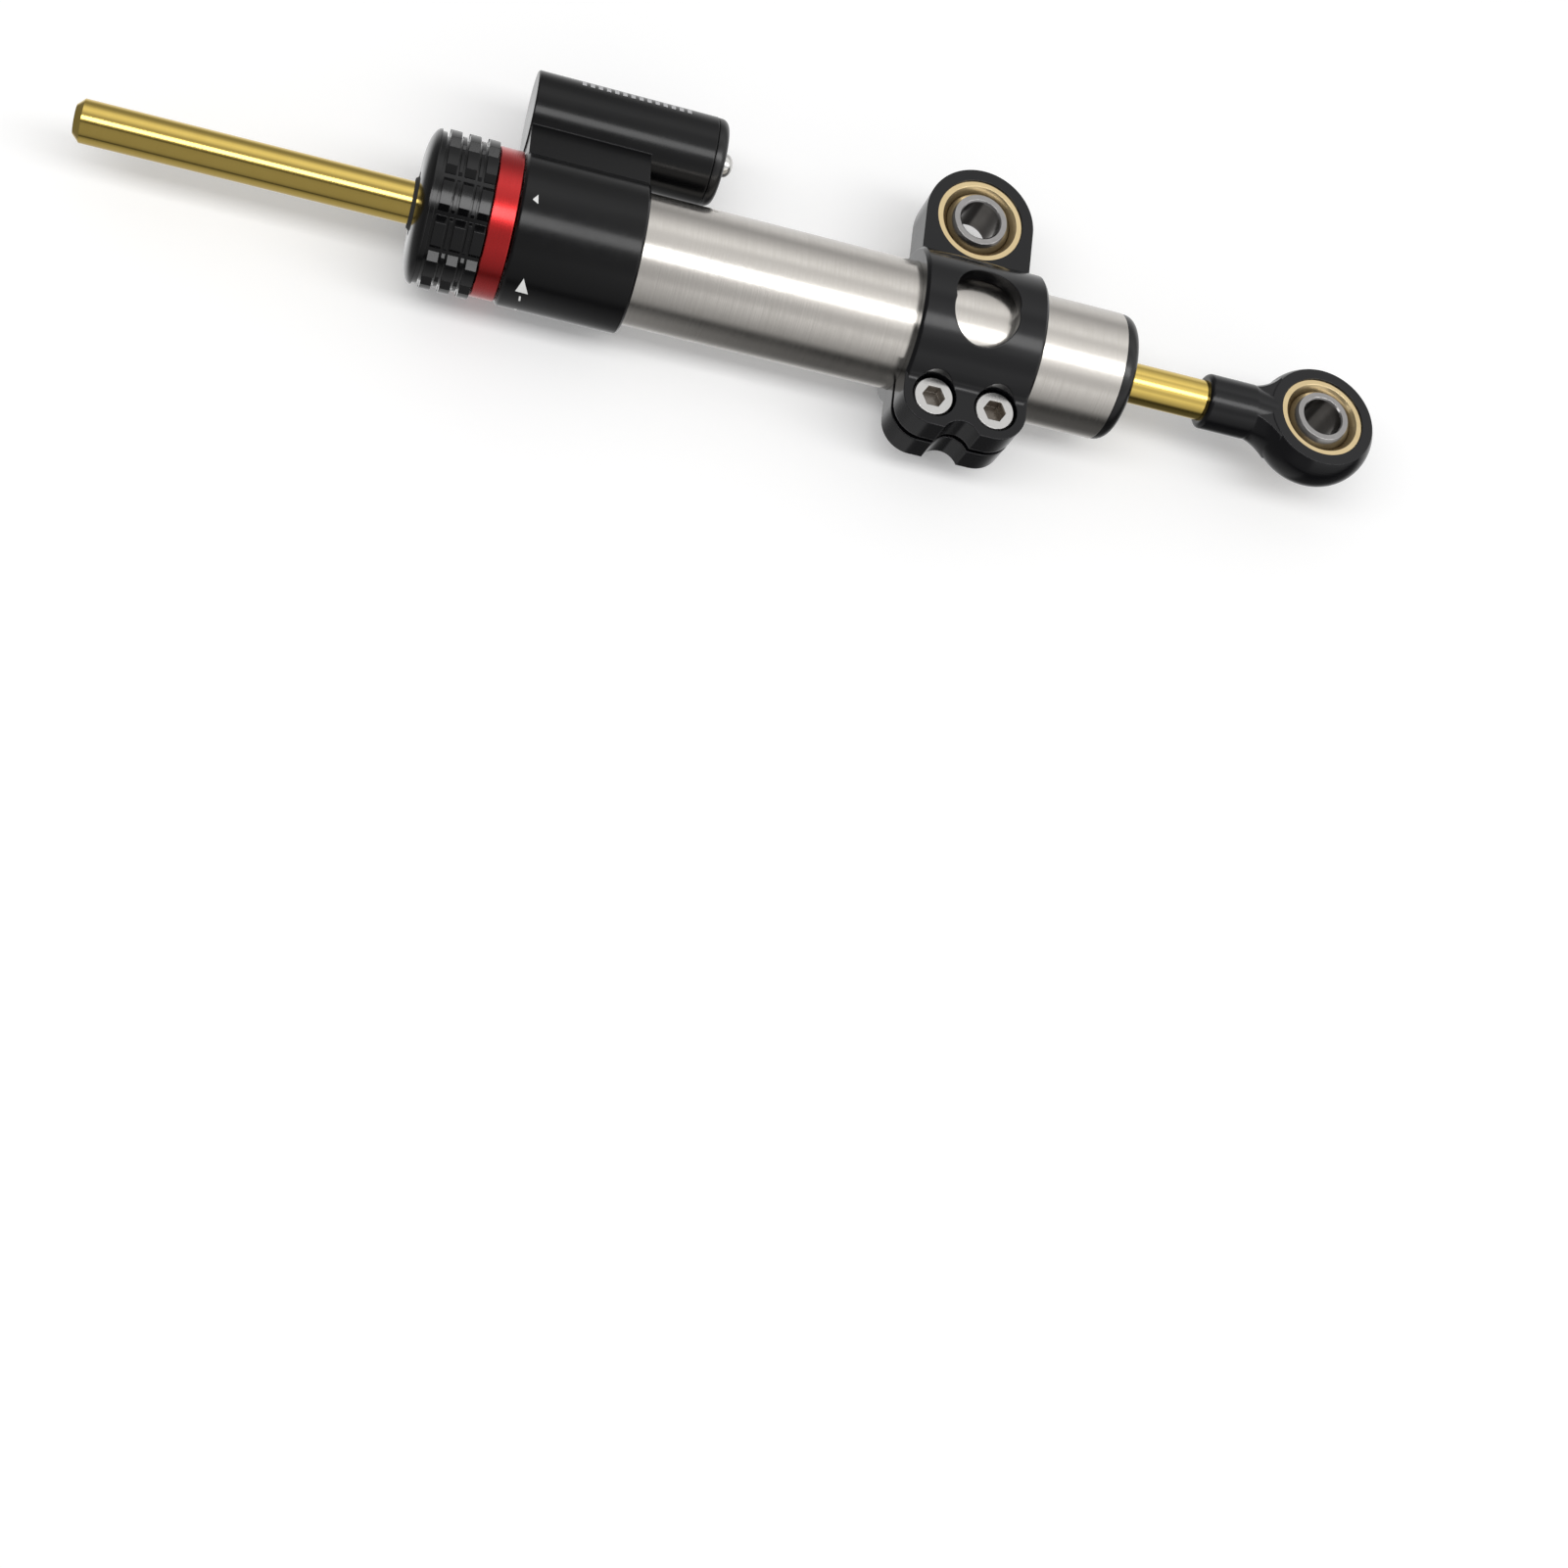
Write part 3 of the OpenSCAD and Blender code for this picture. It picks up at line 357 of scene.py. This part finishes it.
def brass_race(name: str, up: tuple[float, float, float], middle: float) -> Finish:
    """Turned brass, with painted shade inside the flared mouths.

    Args:
        name: the material's name.
        up: direction of the bearing's axis.
        middle: the bearing's middle plane along that axis.

    Returns:
        The finish of one race.
    """
    return Finish(name, (0.76, 0.615, 0.365), (0.62, 0.45, 0.22), (0.92, 0.79, 0.53), roughness=0.22,
                  lay=Lay.AROUND_Z, relief=0.25, edge_mm=0.2, recess_shade=RACE_RECESS_SHADE,
                  recess=Recess(up, middle, RACE_HALF - 0.0003, 0.0012))


def steel_ball(name: str, up: tuple[float, float, float], middle: float) -> Finish:
    """Bearing steel, lighter on the flat face round the bore and with painted shade below it; its near-white
    edges are partly wear, partly a painted highlight.

    Args:
        name: the material's name.
        up: direction of the bearing's axis.
        middle: the bearing's middle plane along that axis.

    Returns:
        The finish of one ball.
    """
    # The near-white edge colour at wear 0.8 is partly wear and partly a painted highlight round the bore.
    return Finish(name, (0.36, 0.35, 0.345), (0.29, 0.28, 0.275), (0.80, 0.79, 0.77), roughness=0.22,
                  lay=Lay.EVEN, relief=0.08, edge_mm=0.15, wear_and_highlight=0.8, recess_shade=BALL_RECESS_SHADE,
                  recess=Recess(up, middle, BALL_HALF - 0.0002, 0.0006))


FINISHES: dict[str, Finish] = {
    "tube_steel": Finish("brushed_stainless", (0.68, 0.65, 0.61), STEEL_SHADE, WHITE_WORN,
                         roughness=0.20, line_rough=0.10, line_tint=0.35, relief=0.35, edge_mm=0.2),
    "gold_rod": Finish("gold_hard_coat", (0.80, 0.595, 0.165), (0.70, 0.49, 0.115), (0.88, 0.74, 0.34),
                       roughness=0.12, line_rough=0.04, mottle_rough=0.03, line_tint=0.2, relief=0.10,
                       edge_mm=0.2),
    "black_anodised": Finish("gloss_black_anodised", (0.0034, 0.0034, 0.0038), (0.002, 0.002, 0.0023),
                             (0.05, 0.05, 0.052), metallic=0.0, roughness=0.18, lay=Lay.BLASTED, relief=0.05,
                             edge_mm=0.35, wear_and_highlight=0.2, specular=0.32, mottle_rough=0.08),
    "knob_black": Finish("knob_black_anodised", (0.0034, 0.0034, 0.0038), (0.002, 0.002, 0.0023),
                         (0.06, 0.06, 0.062), metallic=0.0, roughness=0.14, lay=Lay.BLASTED, relief=0.04,
                         edge_mm=0.12, wear_and_highlight=0.3, specular=0.48, mottle_rough=0.05),
    "satin_black": Finish("satin_black_anodised", (0.0036, 0.0036, 0.0046), (0.002, 0.002, 0.0027),
                          (0.06, 0.06, 0.063), metallic=0.0, roughness=0.18, lay=Lay.BLASTED, relief=0.05,
                          edge_mm=0.35, wear_and_highlight=0.25, specular=0.36, mottle_rough=0.08),
    "black_cap": Finish("turned_black_anodised", (0.0034, 0.0034, 0.0038), (0.002, 0.002, 0.0023),
                        (0.05, 0.05, 0.05), metallic=0.0, roughness=0.24, lay=Lay.AROUND_X, relief=0.15,
                        edge_mm=0.4, wear_and_highlight=0.2, specular=0.5),
    "red_anodised": Finish("red_anodised_ring", (0.62, 0.030, 0.030), (0.46, 0.018, 0.020),
                           (0.78, 0.14, 0.13), roughness=0.26, relief=0.2, edge_mm=0.3, wear_and_highlight=0.35, coat=0.4,
                           coat_roughness=0.15),
    "race_brass": brass_race("clamp_race_brass", UP, 0.0),
    "rod_end_brass": brass_race("rod_end_race_brass", ROD_EYE_UP, ROD_EYE_MIDDLE),
    "ball_steel": steel_ball("clamp_ball_steel", UP, 0.0),
    "rod_end_steel": steel_ball("rod_end_ball_steel", ROD_EYE_UP, ROD_EYE_MIDDLE),
    "screw_steel": Finish("bright_stainless", (0.76, 0.75, 0.73), (0.60, 0.59, 0.57), (0.88, 0.87, 0.85),
                          roughness=0.20, relief=0.15, edge_mm=0.25),
    # Painted shade in the hex sockets and on everything more than a little below the heads' tops.
    "socket_head": Finish("bright_socket_head", (0.68, 0.67, 0.655), (0.54, 0.53, 0.52), (0.90, 0.89, 0.87),
                          roughness=0.24, lay=Lay.EVEN, relief=0.08, edge_mm=0.12, recess_shade=(0.16, 0.14, 0.12),
                          recess=Recess(UP, 0.0, SCREW_TOP - 0.0003)),
    "dark_steel": Finish("phosphated_steel", (0.10, 0.10, 0.11), (0.06, 0.06, 0.065), (0.3, 0.3, 0.3),
                         roughness=0.38, lay=Lay.EVEN, relief=0.15),
    "plain_aluminium": Finish("machined_aluminium", (0.66, 0.67, 0.68), (0.52, 0.53, 0.54), (0.8, 0.8, 0.8),
                              roughness=0.3, relief=0.3),
    "guide_bronze": Finish("bearing_bronze", (0.55, 0.36, 0.16), (0.40, 0.24, 0.10), (0.7, 0.5, 0.3),
                           roughness=0.33, relief=0.2),
    "seal_rubber": Finish("nitrile_rubber", (0.020, 0.020, 0.020), (0.030, 0.030, 0.030), (0.05, 0.05, 0.05),
                          metallic=0.0, roughness=0.62, lay=Lay.EVEN, relief=0.2),
    "ring_plastic": Finish("filled_ptfe", (0.30, 0.20, 0.12), (0.22, 0.15, 0.09), (0.4, 0.3, 0.2),
                           metallic=0.0, roughness=0.5, lay=Lay.EVEN, relief=0.2),
    "index_paint": Finish("index_paint", (0.82, 0.82, 0.81), (0.70, 0.70, 0.69), (0.88, 0.88, 0.88),
                          metallic=0.0, roughness=0.55, lay=Lay.BLASTED, relief=0.2, edge_mm=0.02),
    "tick_paint": Finish("tick_paint", (0.56, 0.56, 0.57), (0.48, 0.48, 0.49), (0.64, 0.64, 0.64),
                         metallic=0.0, roughness=0.55, lay=Lay.BLASTED, relief=0.2, edge_mm=0.02),
}


@dataclass
class FinishBook:
    """Keeps the material of each slot and puts it on frame nodes and on new pieces."""

    shared: SharedEffects = field(default_factory=SharedEffects)
    made: dict[str, bpy.types.Material] = field(default_factory=dict)

    def get(self, slot: str) -> bpy.types.Material:
        """Returns the material of a slot, made on its first use."""
        if slot not in self.made:
            self.made[slot] = FINISHES[slot].material(self.shared)
        return self.made[slot]

    def dress(self, piece: bpy.types.Object, slot: str) -> None:
        """Gives a piece the finish of a slot.

        Args:
            piece: a frame node or a new piece.
            slot: the record's slot name, or a finish of this file.
        """
        if not piece.material_slots:
            piece.data.materials.append(self.get(slot))
        for place in piece.material_slots:
            place.material = self.get(slot)
        log.info("%s: %s", piece.name, FINISHES[slot].name)


@dataclass
class SubAssembly:
    """Frame nodes that belong together, with the finish of each."""

    finishes: dict[str, str] = field(default_factory=dict)

    def dress(self, book: FinishBook) -> None:
        """Puts each node's finish on it."""
        for node, slot in self.finishes.items():
            book.dress(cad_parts[node], slot)


@dataclass
class Barrel(SubAssembly):
    """Outer tube, head, reservoir and caps with what they hold."""

    finishes: dict[str, str] = field(default_factory=lambda: {
        "outer_tube": "tube_steel", "inner_tube": "plain_aluminium", "head": "black_anodised",
        "head_oring": "seal_rubber", "front_guide": "guide_bronze", "rear_guide": "guide_bronze",
        "guide_orings": "seal_rubber", "rod_seals": "seal_rubber", "retaining_ring": "dark_steel",
        "end_cap": "black_cap", "cap_oring": "seal_rubber", "rear_wiper": "seal_rubber",
        "reservoir_cap": "black_cap", "reservoir_oring": "seal_rubber", "bleed_screw": "screw_steel",
        "stop_pin": "screw_steel", "front_wiper": "seal_rubber", "detent_ball": "screw_steel",
        "detent_spring": "dark_steel", "floating_piston": "plain_aluminium", "floating_oring": "seal_rubber",
    })


@dataclass
class Adjuster(SubAssembly):
    """Knob, coloured ring and metering sleeve."""

    finishes: dict[str, str] = field(default_factory=lambda: {
        "knob": "knob_black", "coloured_ring": "red_anodised", "metering_sleeve": "guide_bronze",
        "sleeve_oring": "seal_rubber", "knob_screws": "dark_steel",
    })


@dataclass
class RodAndPiston(SubAssembly):
    """Rod, piston, circlips and the rod eye."""

    finishes: dict[str, str] = field(default_factory=lambda: {
        "rod": "gold_rod", "rod_circlips": "dark_steel", "piston": "plain_aluminium",
        "piston_ring": "ring_plastic", "rod_end": "satin_black", "rod_end_race": "rod_end_brass",
        "rod_end_ball": "rod_end_steel",
    })


@dataclass
class BodyClamp(SubAssembly):
    """Clamp band with its eye, race, ball and screws."""

    finishes: dict[str, str] = field(default_factory=lambda: {
        "clamp": "satin_black", "clamp_race": "race_brass", "clamp_ball": "ball_steel",
        "clamp_screws": "socket_head",
    })


@dataclass
class IndexMarks:
    """Light index marks on the head's collar and on the reservoir, as thin raised patches."""

    collar_r: float = 0.0145
    reservoir_r: float = 0.0085
    collar_y: float = -0.0244
    reservoir_y: float = 0.0002
    proud: float = 0.00005
    sunk: float = 0.00012
    tick_count: int = 14
    tick_from: float = -0.0812
    tick_to: float = -0.0607
    tick_low: float = -33.0
    tick_high: float = -46.0
    tick_wide: float = 0.00085
    collar_marks: tuple = (
        ("index_triangle", ((-0.08669, 78.9), (-0.08427, 79.2), (-0.08579, 65.3), (-0.08583, 65.3))),
        ("index_stem", ((-0.08555, 89.6), (-0.08520, 89.6), (-0.08535, 83.8), (-0.08570, 83.8))),
        ("index_dot", ((-0.08560, 112.5), (-0.08510, 112.5), (-0.08510, 108.6), (-0.08560, 108.6))),
        ("index_small_triangle", ((-0.08741, 6.9), (-0.08630, 9.2), (-0.08655, 2.2), (-0.08741, 6.7))),
    )

    def patch(self, name: str, corners: tuple, radius: float, axis_y: float) -> bpy.types.Object:
        """Makes one raised patch on a bar along X.

        The point at (u, v) is the bilinear blend of four corners, each an x and an angle, laid on a circle
        about the bar's axis. The same grid at the sunk radius and a wall round the rim close it into a slab.

        Args:
            name: the piece's name.
            corners: x and angle, in degrees from +Z towards -Y, of the low left, low right, high right and
                high left corner. Two equal corners make a triangle.
            radius: radius of the bar.
            axis_y: y of the bar's axis.

        Returns:
            The patch.
        """
        u, v = np.meshgrid(np.linspace(0.0, 1.0, 5), np.linspace(0.0, 1.0, 7), indexing="ij")
        weights = ((1 - u) * (1 - v), u * (1 - v), u * v, (1 - u) * v)
        x = sum(weight * corner[0] for weight, corner in zip(weights, corners))
        angle = np.radians(sum(weight * corner[1] for weight, corner in zip(weights, corners)))
        sheets = []
        for reach in (radius + self.proud, radius - self.sunk):
            sheet = np.stack([x, axis_y - reach * np.sin(angle), reach * np.cos(angle)], -1)
            sheets.append(sheet.reshape(-1, 3))
        points = np.concatenate(sheets)
        rows, cols = u.shape
        grid = np.arange(rows * cols).reshape(rows, cols)
        a, b, c, d = grid[:-1, :-1], grid[1:, :-1], grid[1:, 1:], grid[:-1, 1:]
        top = np.stack([a, d, c, b], -1).reshape(-1, 4)
        under = top[:, ::-1] + rows * cols
        ring = np.concatenate([grid[:-1, 0], grid[-1, :-1], grid[:0:-1, -1], grid[0, :0:-1]])
        after = np.roll(ring, -1)
        wall = np.stack([ring, after, after + rows * cols, ring + rows * cols], -1)
        mesh = bpy.data.meshes.new(name)
        mesh.from_pydata(points.tolist(), [], np.concatenate([top, under, wall]).tolist())
        mesh.update()
        piece = bpy.data.objects.new(name, mesh)
        bpy.context.collection.objects.link(piece)
        return piece

    @staticmethod
    def settle(mark: bpy.types.Object, paint: str, book: FinishBook) -> None:
        """Dresses a mark and lets it ride on the barrel.

        Args:
            mark: the mark.
            paint: the finish it gets.
            book: the finishes.
        """
        book.dress(mark, paint)
        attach(mark, "barrel")

    def build(self, book: FinishBook) -> None:
        """Makes the marks on the collar, then the ticks on the reservoir."""
        for name, corners in self.collar_marks:
            self.settle(self.patch(name, corners, self.collar_r, self.collar_y), "index_paint", book)
        step = (self.tick_to - self.tick_from) / (self.tick_count - 1)
        for count in range(self.tick_count):
            left = self.tick_from + step * count
            right = left + self.tick_wide
            corners = ((left, self.tick_low), (right, self.tick_low), (right, self.tick_high),
                       (left, self.tick_high))
            tick = self.patch(f"reservoir_tick_{count + 1:02d}", corners, self.reservoir_r, self.reservoir_y)
            self.settle(tick, "tick_paint", book)


@dataclass
class Studio:
    """Pale floor, soft strip lamp, plain world and the camera."""

    floor_z: float = -0.01556
    floor_half: float = 3.0
    near_lift: float = 0.18
    far_lift: float = 0.42
    far_from: float = 0.6
    far_over: float = 1.4
    plain_level: float = 0.50
    strip_at: float = 12.0
    strip_width: float = 0.29
    strip_length: float = 2.4
    strip_distance: float = 1.0
    strip_radiance: float = 3.8
    rod_y: float = -0.0244
    floor_grey: float = 0.90
    panel_unit: float = 1.25
    rest_from: float = 0.08
    rest_over: float = 0.09
    nose_from: float = 0.60
    nose_over: float = 0.25
    nose_level: float = 0.16
    sensor_mm: float = 36.0
    lens_mm: float = 57.288
    clip_near: float = 0.005
    clip_far: float = 20.0
    camera_right: tuple = (0.955102928, 0.115769656, 0.272719240)
    camera_up: tuple = (-0.195020264, 0.938616406, 0.284545848)
    camera_back: tuple = (-0.223036978, -0.324956351, 0.919052706)
    camera_at: tuple = (-0.124003, -0.266452, 0.410978)
    rest_bands: tuple = (
        (-180, 0.45), (-150, 0.9), (-98, 0.83), (-76, 0.45), (-58, 0.70), (-36, 1.1), (-24, 0.72),
        (-10, 1.05), (2, 1.1), (25, 1.1), (33, 1.0), (41, 0.66), (53, 0.68), (62, 0.95), (78, 0.70),
        (91, 0.50), (101, 0.40), (108, 0.15), (117, 0.03), (137, 0.09), (159, 0.10), (174, 0.25), (180, 0.40),
    )
    rod_side_bands: tuple = (
        (-180, 0.50), (-150, 0.95), (-112, 0.85), (-98, 0.50), (-86, 0.30), (-74, 0.28), (-58, 0.50),
        (-50, 0.80), (-34, 1.05), (-20, 0.80), (-9, 0.42), (0, 0.55), (14, 1.0), (22, 0.7), (27, 0.30),
        (31, 0.06), (35, 0.07), (39, 0.30), (60, 0.33), (90, 0.32), (106, 0.24), (111, 0.06), (115, 0.06),
        (121, 0.26), (137, 0.42), (174, 0.50), (180, 0.50),
    )

    def build_floor(self) -> None:
        """A wide flat grid under the object, pale for the camera, with the object's own soft shadow.

        The lift grows by far_lift between the distances far_from and far_from plus far_over, so that the far
        floor runs into the white behind it.
        """
        count = 9
        line = np.linspace(-self.floor_half, self.floor_half, count)
        x, y = np.meshgrid(line, line, indexing="ij")
        points = np.stack([x, y, np.full_like(x, self.floor_z)], -1).reshape(-1, 3)
        grid = np.arange(count * count).reshape(count, count)
        faces = np.stack([grid[:-1, :-1], grid[1:, :-1], grid[1:, 1:], grid[:-1, 1:]], -1).reshape(-1, 4)
        mesh = bpy.data.meshes.new("studio_floor")
        mesh.from_pydata(points.tolist(), [], faces.tolist())
        floor = bpy.data.objects.new("studio_floor", mesh)
        bpy.context.collection.objects.link(floor)
        made = bpy.data.materials.new("pale_floor")
        made.use_nodes = True
        sheet = NodeSheet(made.node_tree)
        made.node_tree.nodes.remove(made.node_tree.nodes["Principled BSDF"])
        out = made.node_tree.nodes["Material Output"]
        matt = sheet.add("ShaderNodeBsdfDiffuse")
        matt.inputs["Color"].default_value = (self.floor_grey, self.floor_grey, self.floor_grey, 1.0)
        lift = sheet.add("ShaderNodeEmission")
        path = sheet.add("ShaderNodeLightPath")
        seen = sheet.math("ADD", path.outputs["Is Camera Ray"], path.outputs["Is Glossy Ray"])
        seen = sheet.math("ADD", seen, path.outputs["Is Transmission Ray"], clamp=True)
        reach = sheet.add("ShaderNodeVectorMath", operation="LENGTH")
        sheet.join(sheet.add("ShaderNodeTexCoord").outputs["Object"], reach.inputs[0])
        far = sheet.math("SUBTRACT", reach.outputs["Value"], self.far_from)
        far = sheet.math("DIVIDE", far, self.far_over, clamp=True)
        raised = sheet.math("ADD", sheet.math("MULTIPLY", far, self.far_lift), self.near_lift)
        sheet.join(sheet.math("MULTIPLY", seen, raised), lift.inputs["Strength"])
        both = sheet.add("ShaderNodeAddShader")
        sheet.join(matt.outputs[0], both.inputs[0])
        sheet.join(lift.outputs[0], both.inputs[1])
        sheet.join(both.outputs[0], out.inputs["Surface"])
        mesh.materials.append(made)
        floor.visible_glossy = False

    def panel_ramp(self, sheet: NodeSheet, along: bpy.types.NodeSocket, bands: tuple) -> bpy.types.NodeSocket:
        """Adds one set of soft panels as a colour ramp round the X axis.

        Args:
            sheet: the world's nodes.
            along: angle round X from 0 to 1, where 0.5 is straight up.
            bands: pairs of an angle in degrees and a brightness.

        Returns:
            The ramp's colour, in units of panel_unit.
        """
        ramp = sheet.add("ShaderNodeValToRGB")
        sheet.join(along, ramp.inputs[0])
        stops = ramp.color_ramp.elements
        while len(stops) > 1:
            stops.remove(stops[-1])
        for count, (degrees, level) in enumerate(bands):
            place = degrees / 360.0 + 0.5
            stop = stops[0] if count == 0 else stops.new(place)
            stop.position = place
            grey = level / self.panel_unit
            stop.color = (grey, grey, grey, 1.0)
        return ramp.outputs["Color"]

    def build_world(self) -> None:
        """Plain light for surfaces, white for the camera, long soft panels along X for reflections."""
        world = bpy.data.worlds.new("soft_studio")
        bpy.context.scene.world = world
        world.use_nodes = True
        world.cycles.sampling_method = "NONE"
        sheet = NodeSheet(world.node_tree)
        for node in list(world.node_tree.nodes):
            world.node_tree.nodes.remove(node)
        out = sheet.add("ShaderNodeOutputWorld")
        way = sheet.add("ShaderNodeTexCoord")
        split = sheet.add("ShaderNodeSeparateXYZ")
        sheet.join(way.outputs["Generated"], split.inputs[0])
        turn = sheet.math("ARCTAN2", sheet.math("MULTIPLY", split.outputs["Y"], -1.0), split.outputs["Z"])
        along = sheet.math("ADD", sheet.math("DIVIDE", turn, 2 * math.pi), 0.5)
        rest = self.panel_ramp(sheet, along, self.rest_bands)
        rod_side = self.panel_ramp(sheet, along, self.rod_side_bands)
        share = sheet.math("SUBTRACT", split.outputs["X"], self.rest_from)
        share = sheet.math("DIVIDE", share, self.rest_over, clamp=True)
        ahead = sheet.math("ADD", split.outputs["X"], self.nose_from)
        ahead = sheet.math("DIVIDE", ahead, self.nose_over, clamp=True)
        past_nose = sheet.blend(ahead, (self.nose_level, self.nose_level, self.nose_level), rod_side)
        panel_light = sheet.blend(share, past_nose, rest)
        plain = sheet.add("ShaderNodeBackground")
        plain.inputs["Strength"].default_value = self.plain_level
        plain.inputs["Color"].default_value = (1.0, 1.0, 1.0, 1.0)
        panels = sheet.add("ShaderNodeBackground")
        panels.inputs["Strength"].default_value = self.panel_unit
        sheet.join(panel_light, panels.inputs["Color"])
        white = sheet.add("ShaderNodeBackground")
        white.inputs["Color"].default_value = (1.0, 1.0, 1.0, 1.0)
        path = sheet.add("ShaderNodeLightPath")
        first = sheet.add("ShaderNodeMixShader")
        sheet.join(path.outputs["Is Glossy Ray"], first.inputs[0])
        sheet.join(plain.outputs[0], first.inputs[1])
        sheet.join(panels.outputs[0], first.inputs[2])
        second = sheet.add("ShaderNodeMixShader")
        seen = sheet.math(
            "ADD", path.outputs["Is Camera Ray"], path.outputs["Is Transmission Ray"], clamp=True
        )
        sheet.join(seen, second.inputs[0])
        sheet.join(first.outputs[0], second.inputs[1])
        sheet.join(white.outputs[0], second.inputs[2])
        sheet.join(second.outputs[0], out.inputs["Surface"])

    def build_strip(self) -> None:
        """One long soft strip lamp over the object, parallel to the rod."""
        lamp = bpy.data.lights.new("strip_lamp", "AREA")
        lamp.shape = "RECTANGLE"
        lamp.size = self.strip_length
        lamp.size_y = self.strip_width
        lamp.energy = self.strip_radiance * math.pi * self.strip_length * self.strip_width
        rig = bpy.data.objects.new("strip_lamp", lamp)
        bpy.context.collection.objects.link(rig)
        lean = math.radians(self.strip_at)
        away = np.array((0.0, -math.sin(lean), math.cos(lean)))
        place = Matrix.Rotation(lean, 4, "X")
        place.translation = tuple(away * self.strip_distance + np.array((0.0, self.rod_y, 0.0)))
        rig.matrix_world = place

    def build_camera(self) -> None:
        """The camera at the photograph's place, solved from edges measured in it."""
        lens = bpy.data.cameras.new("photo_view")
        lens.sensor_width = self.sensor_mm
        lens.sensor_fit = "HORIZONTAL"
        lens.lens = self.lens_mm
        lens.clip_start = self.clip_near
        lens.clip_end = self.clip_far
        eye = bpy.data.objects.new("photo_view", lens)
        bpy.context.collection.objects.link(eye)
        rows = list(zip(self.camera_right, self.camera_up, self.camera_back, self.camera_at))
        eye.matrix_world = Matrix([*rows, (0.0, 0.0, 0.0, 1.0)])
        bpy.context.scene.camera = eye

    def build(self) -> None:
        """Builds the whole studio."""
        bpy.context.scene.view_settings.view_transform = "Standard"
        self.build_floor()
        self.build_world()
        self.build_strip()
        self.build_camera()


def main() -> None:
    """Dresses the frame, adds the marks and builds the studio."""
    logging.basicConfig(level=logging.INFO, format="%(message)s")
    book = FinishBook()
    for part in (Barrel(), Adjuster(), RodAndPiston(), BodyClamp()):
        part.dress(book)
    IndexMarks().build(book)
    Studio().build()


if __name__ == "__main__":
    main()
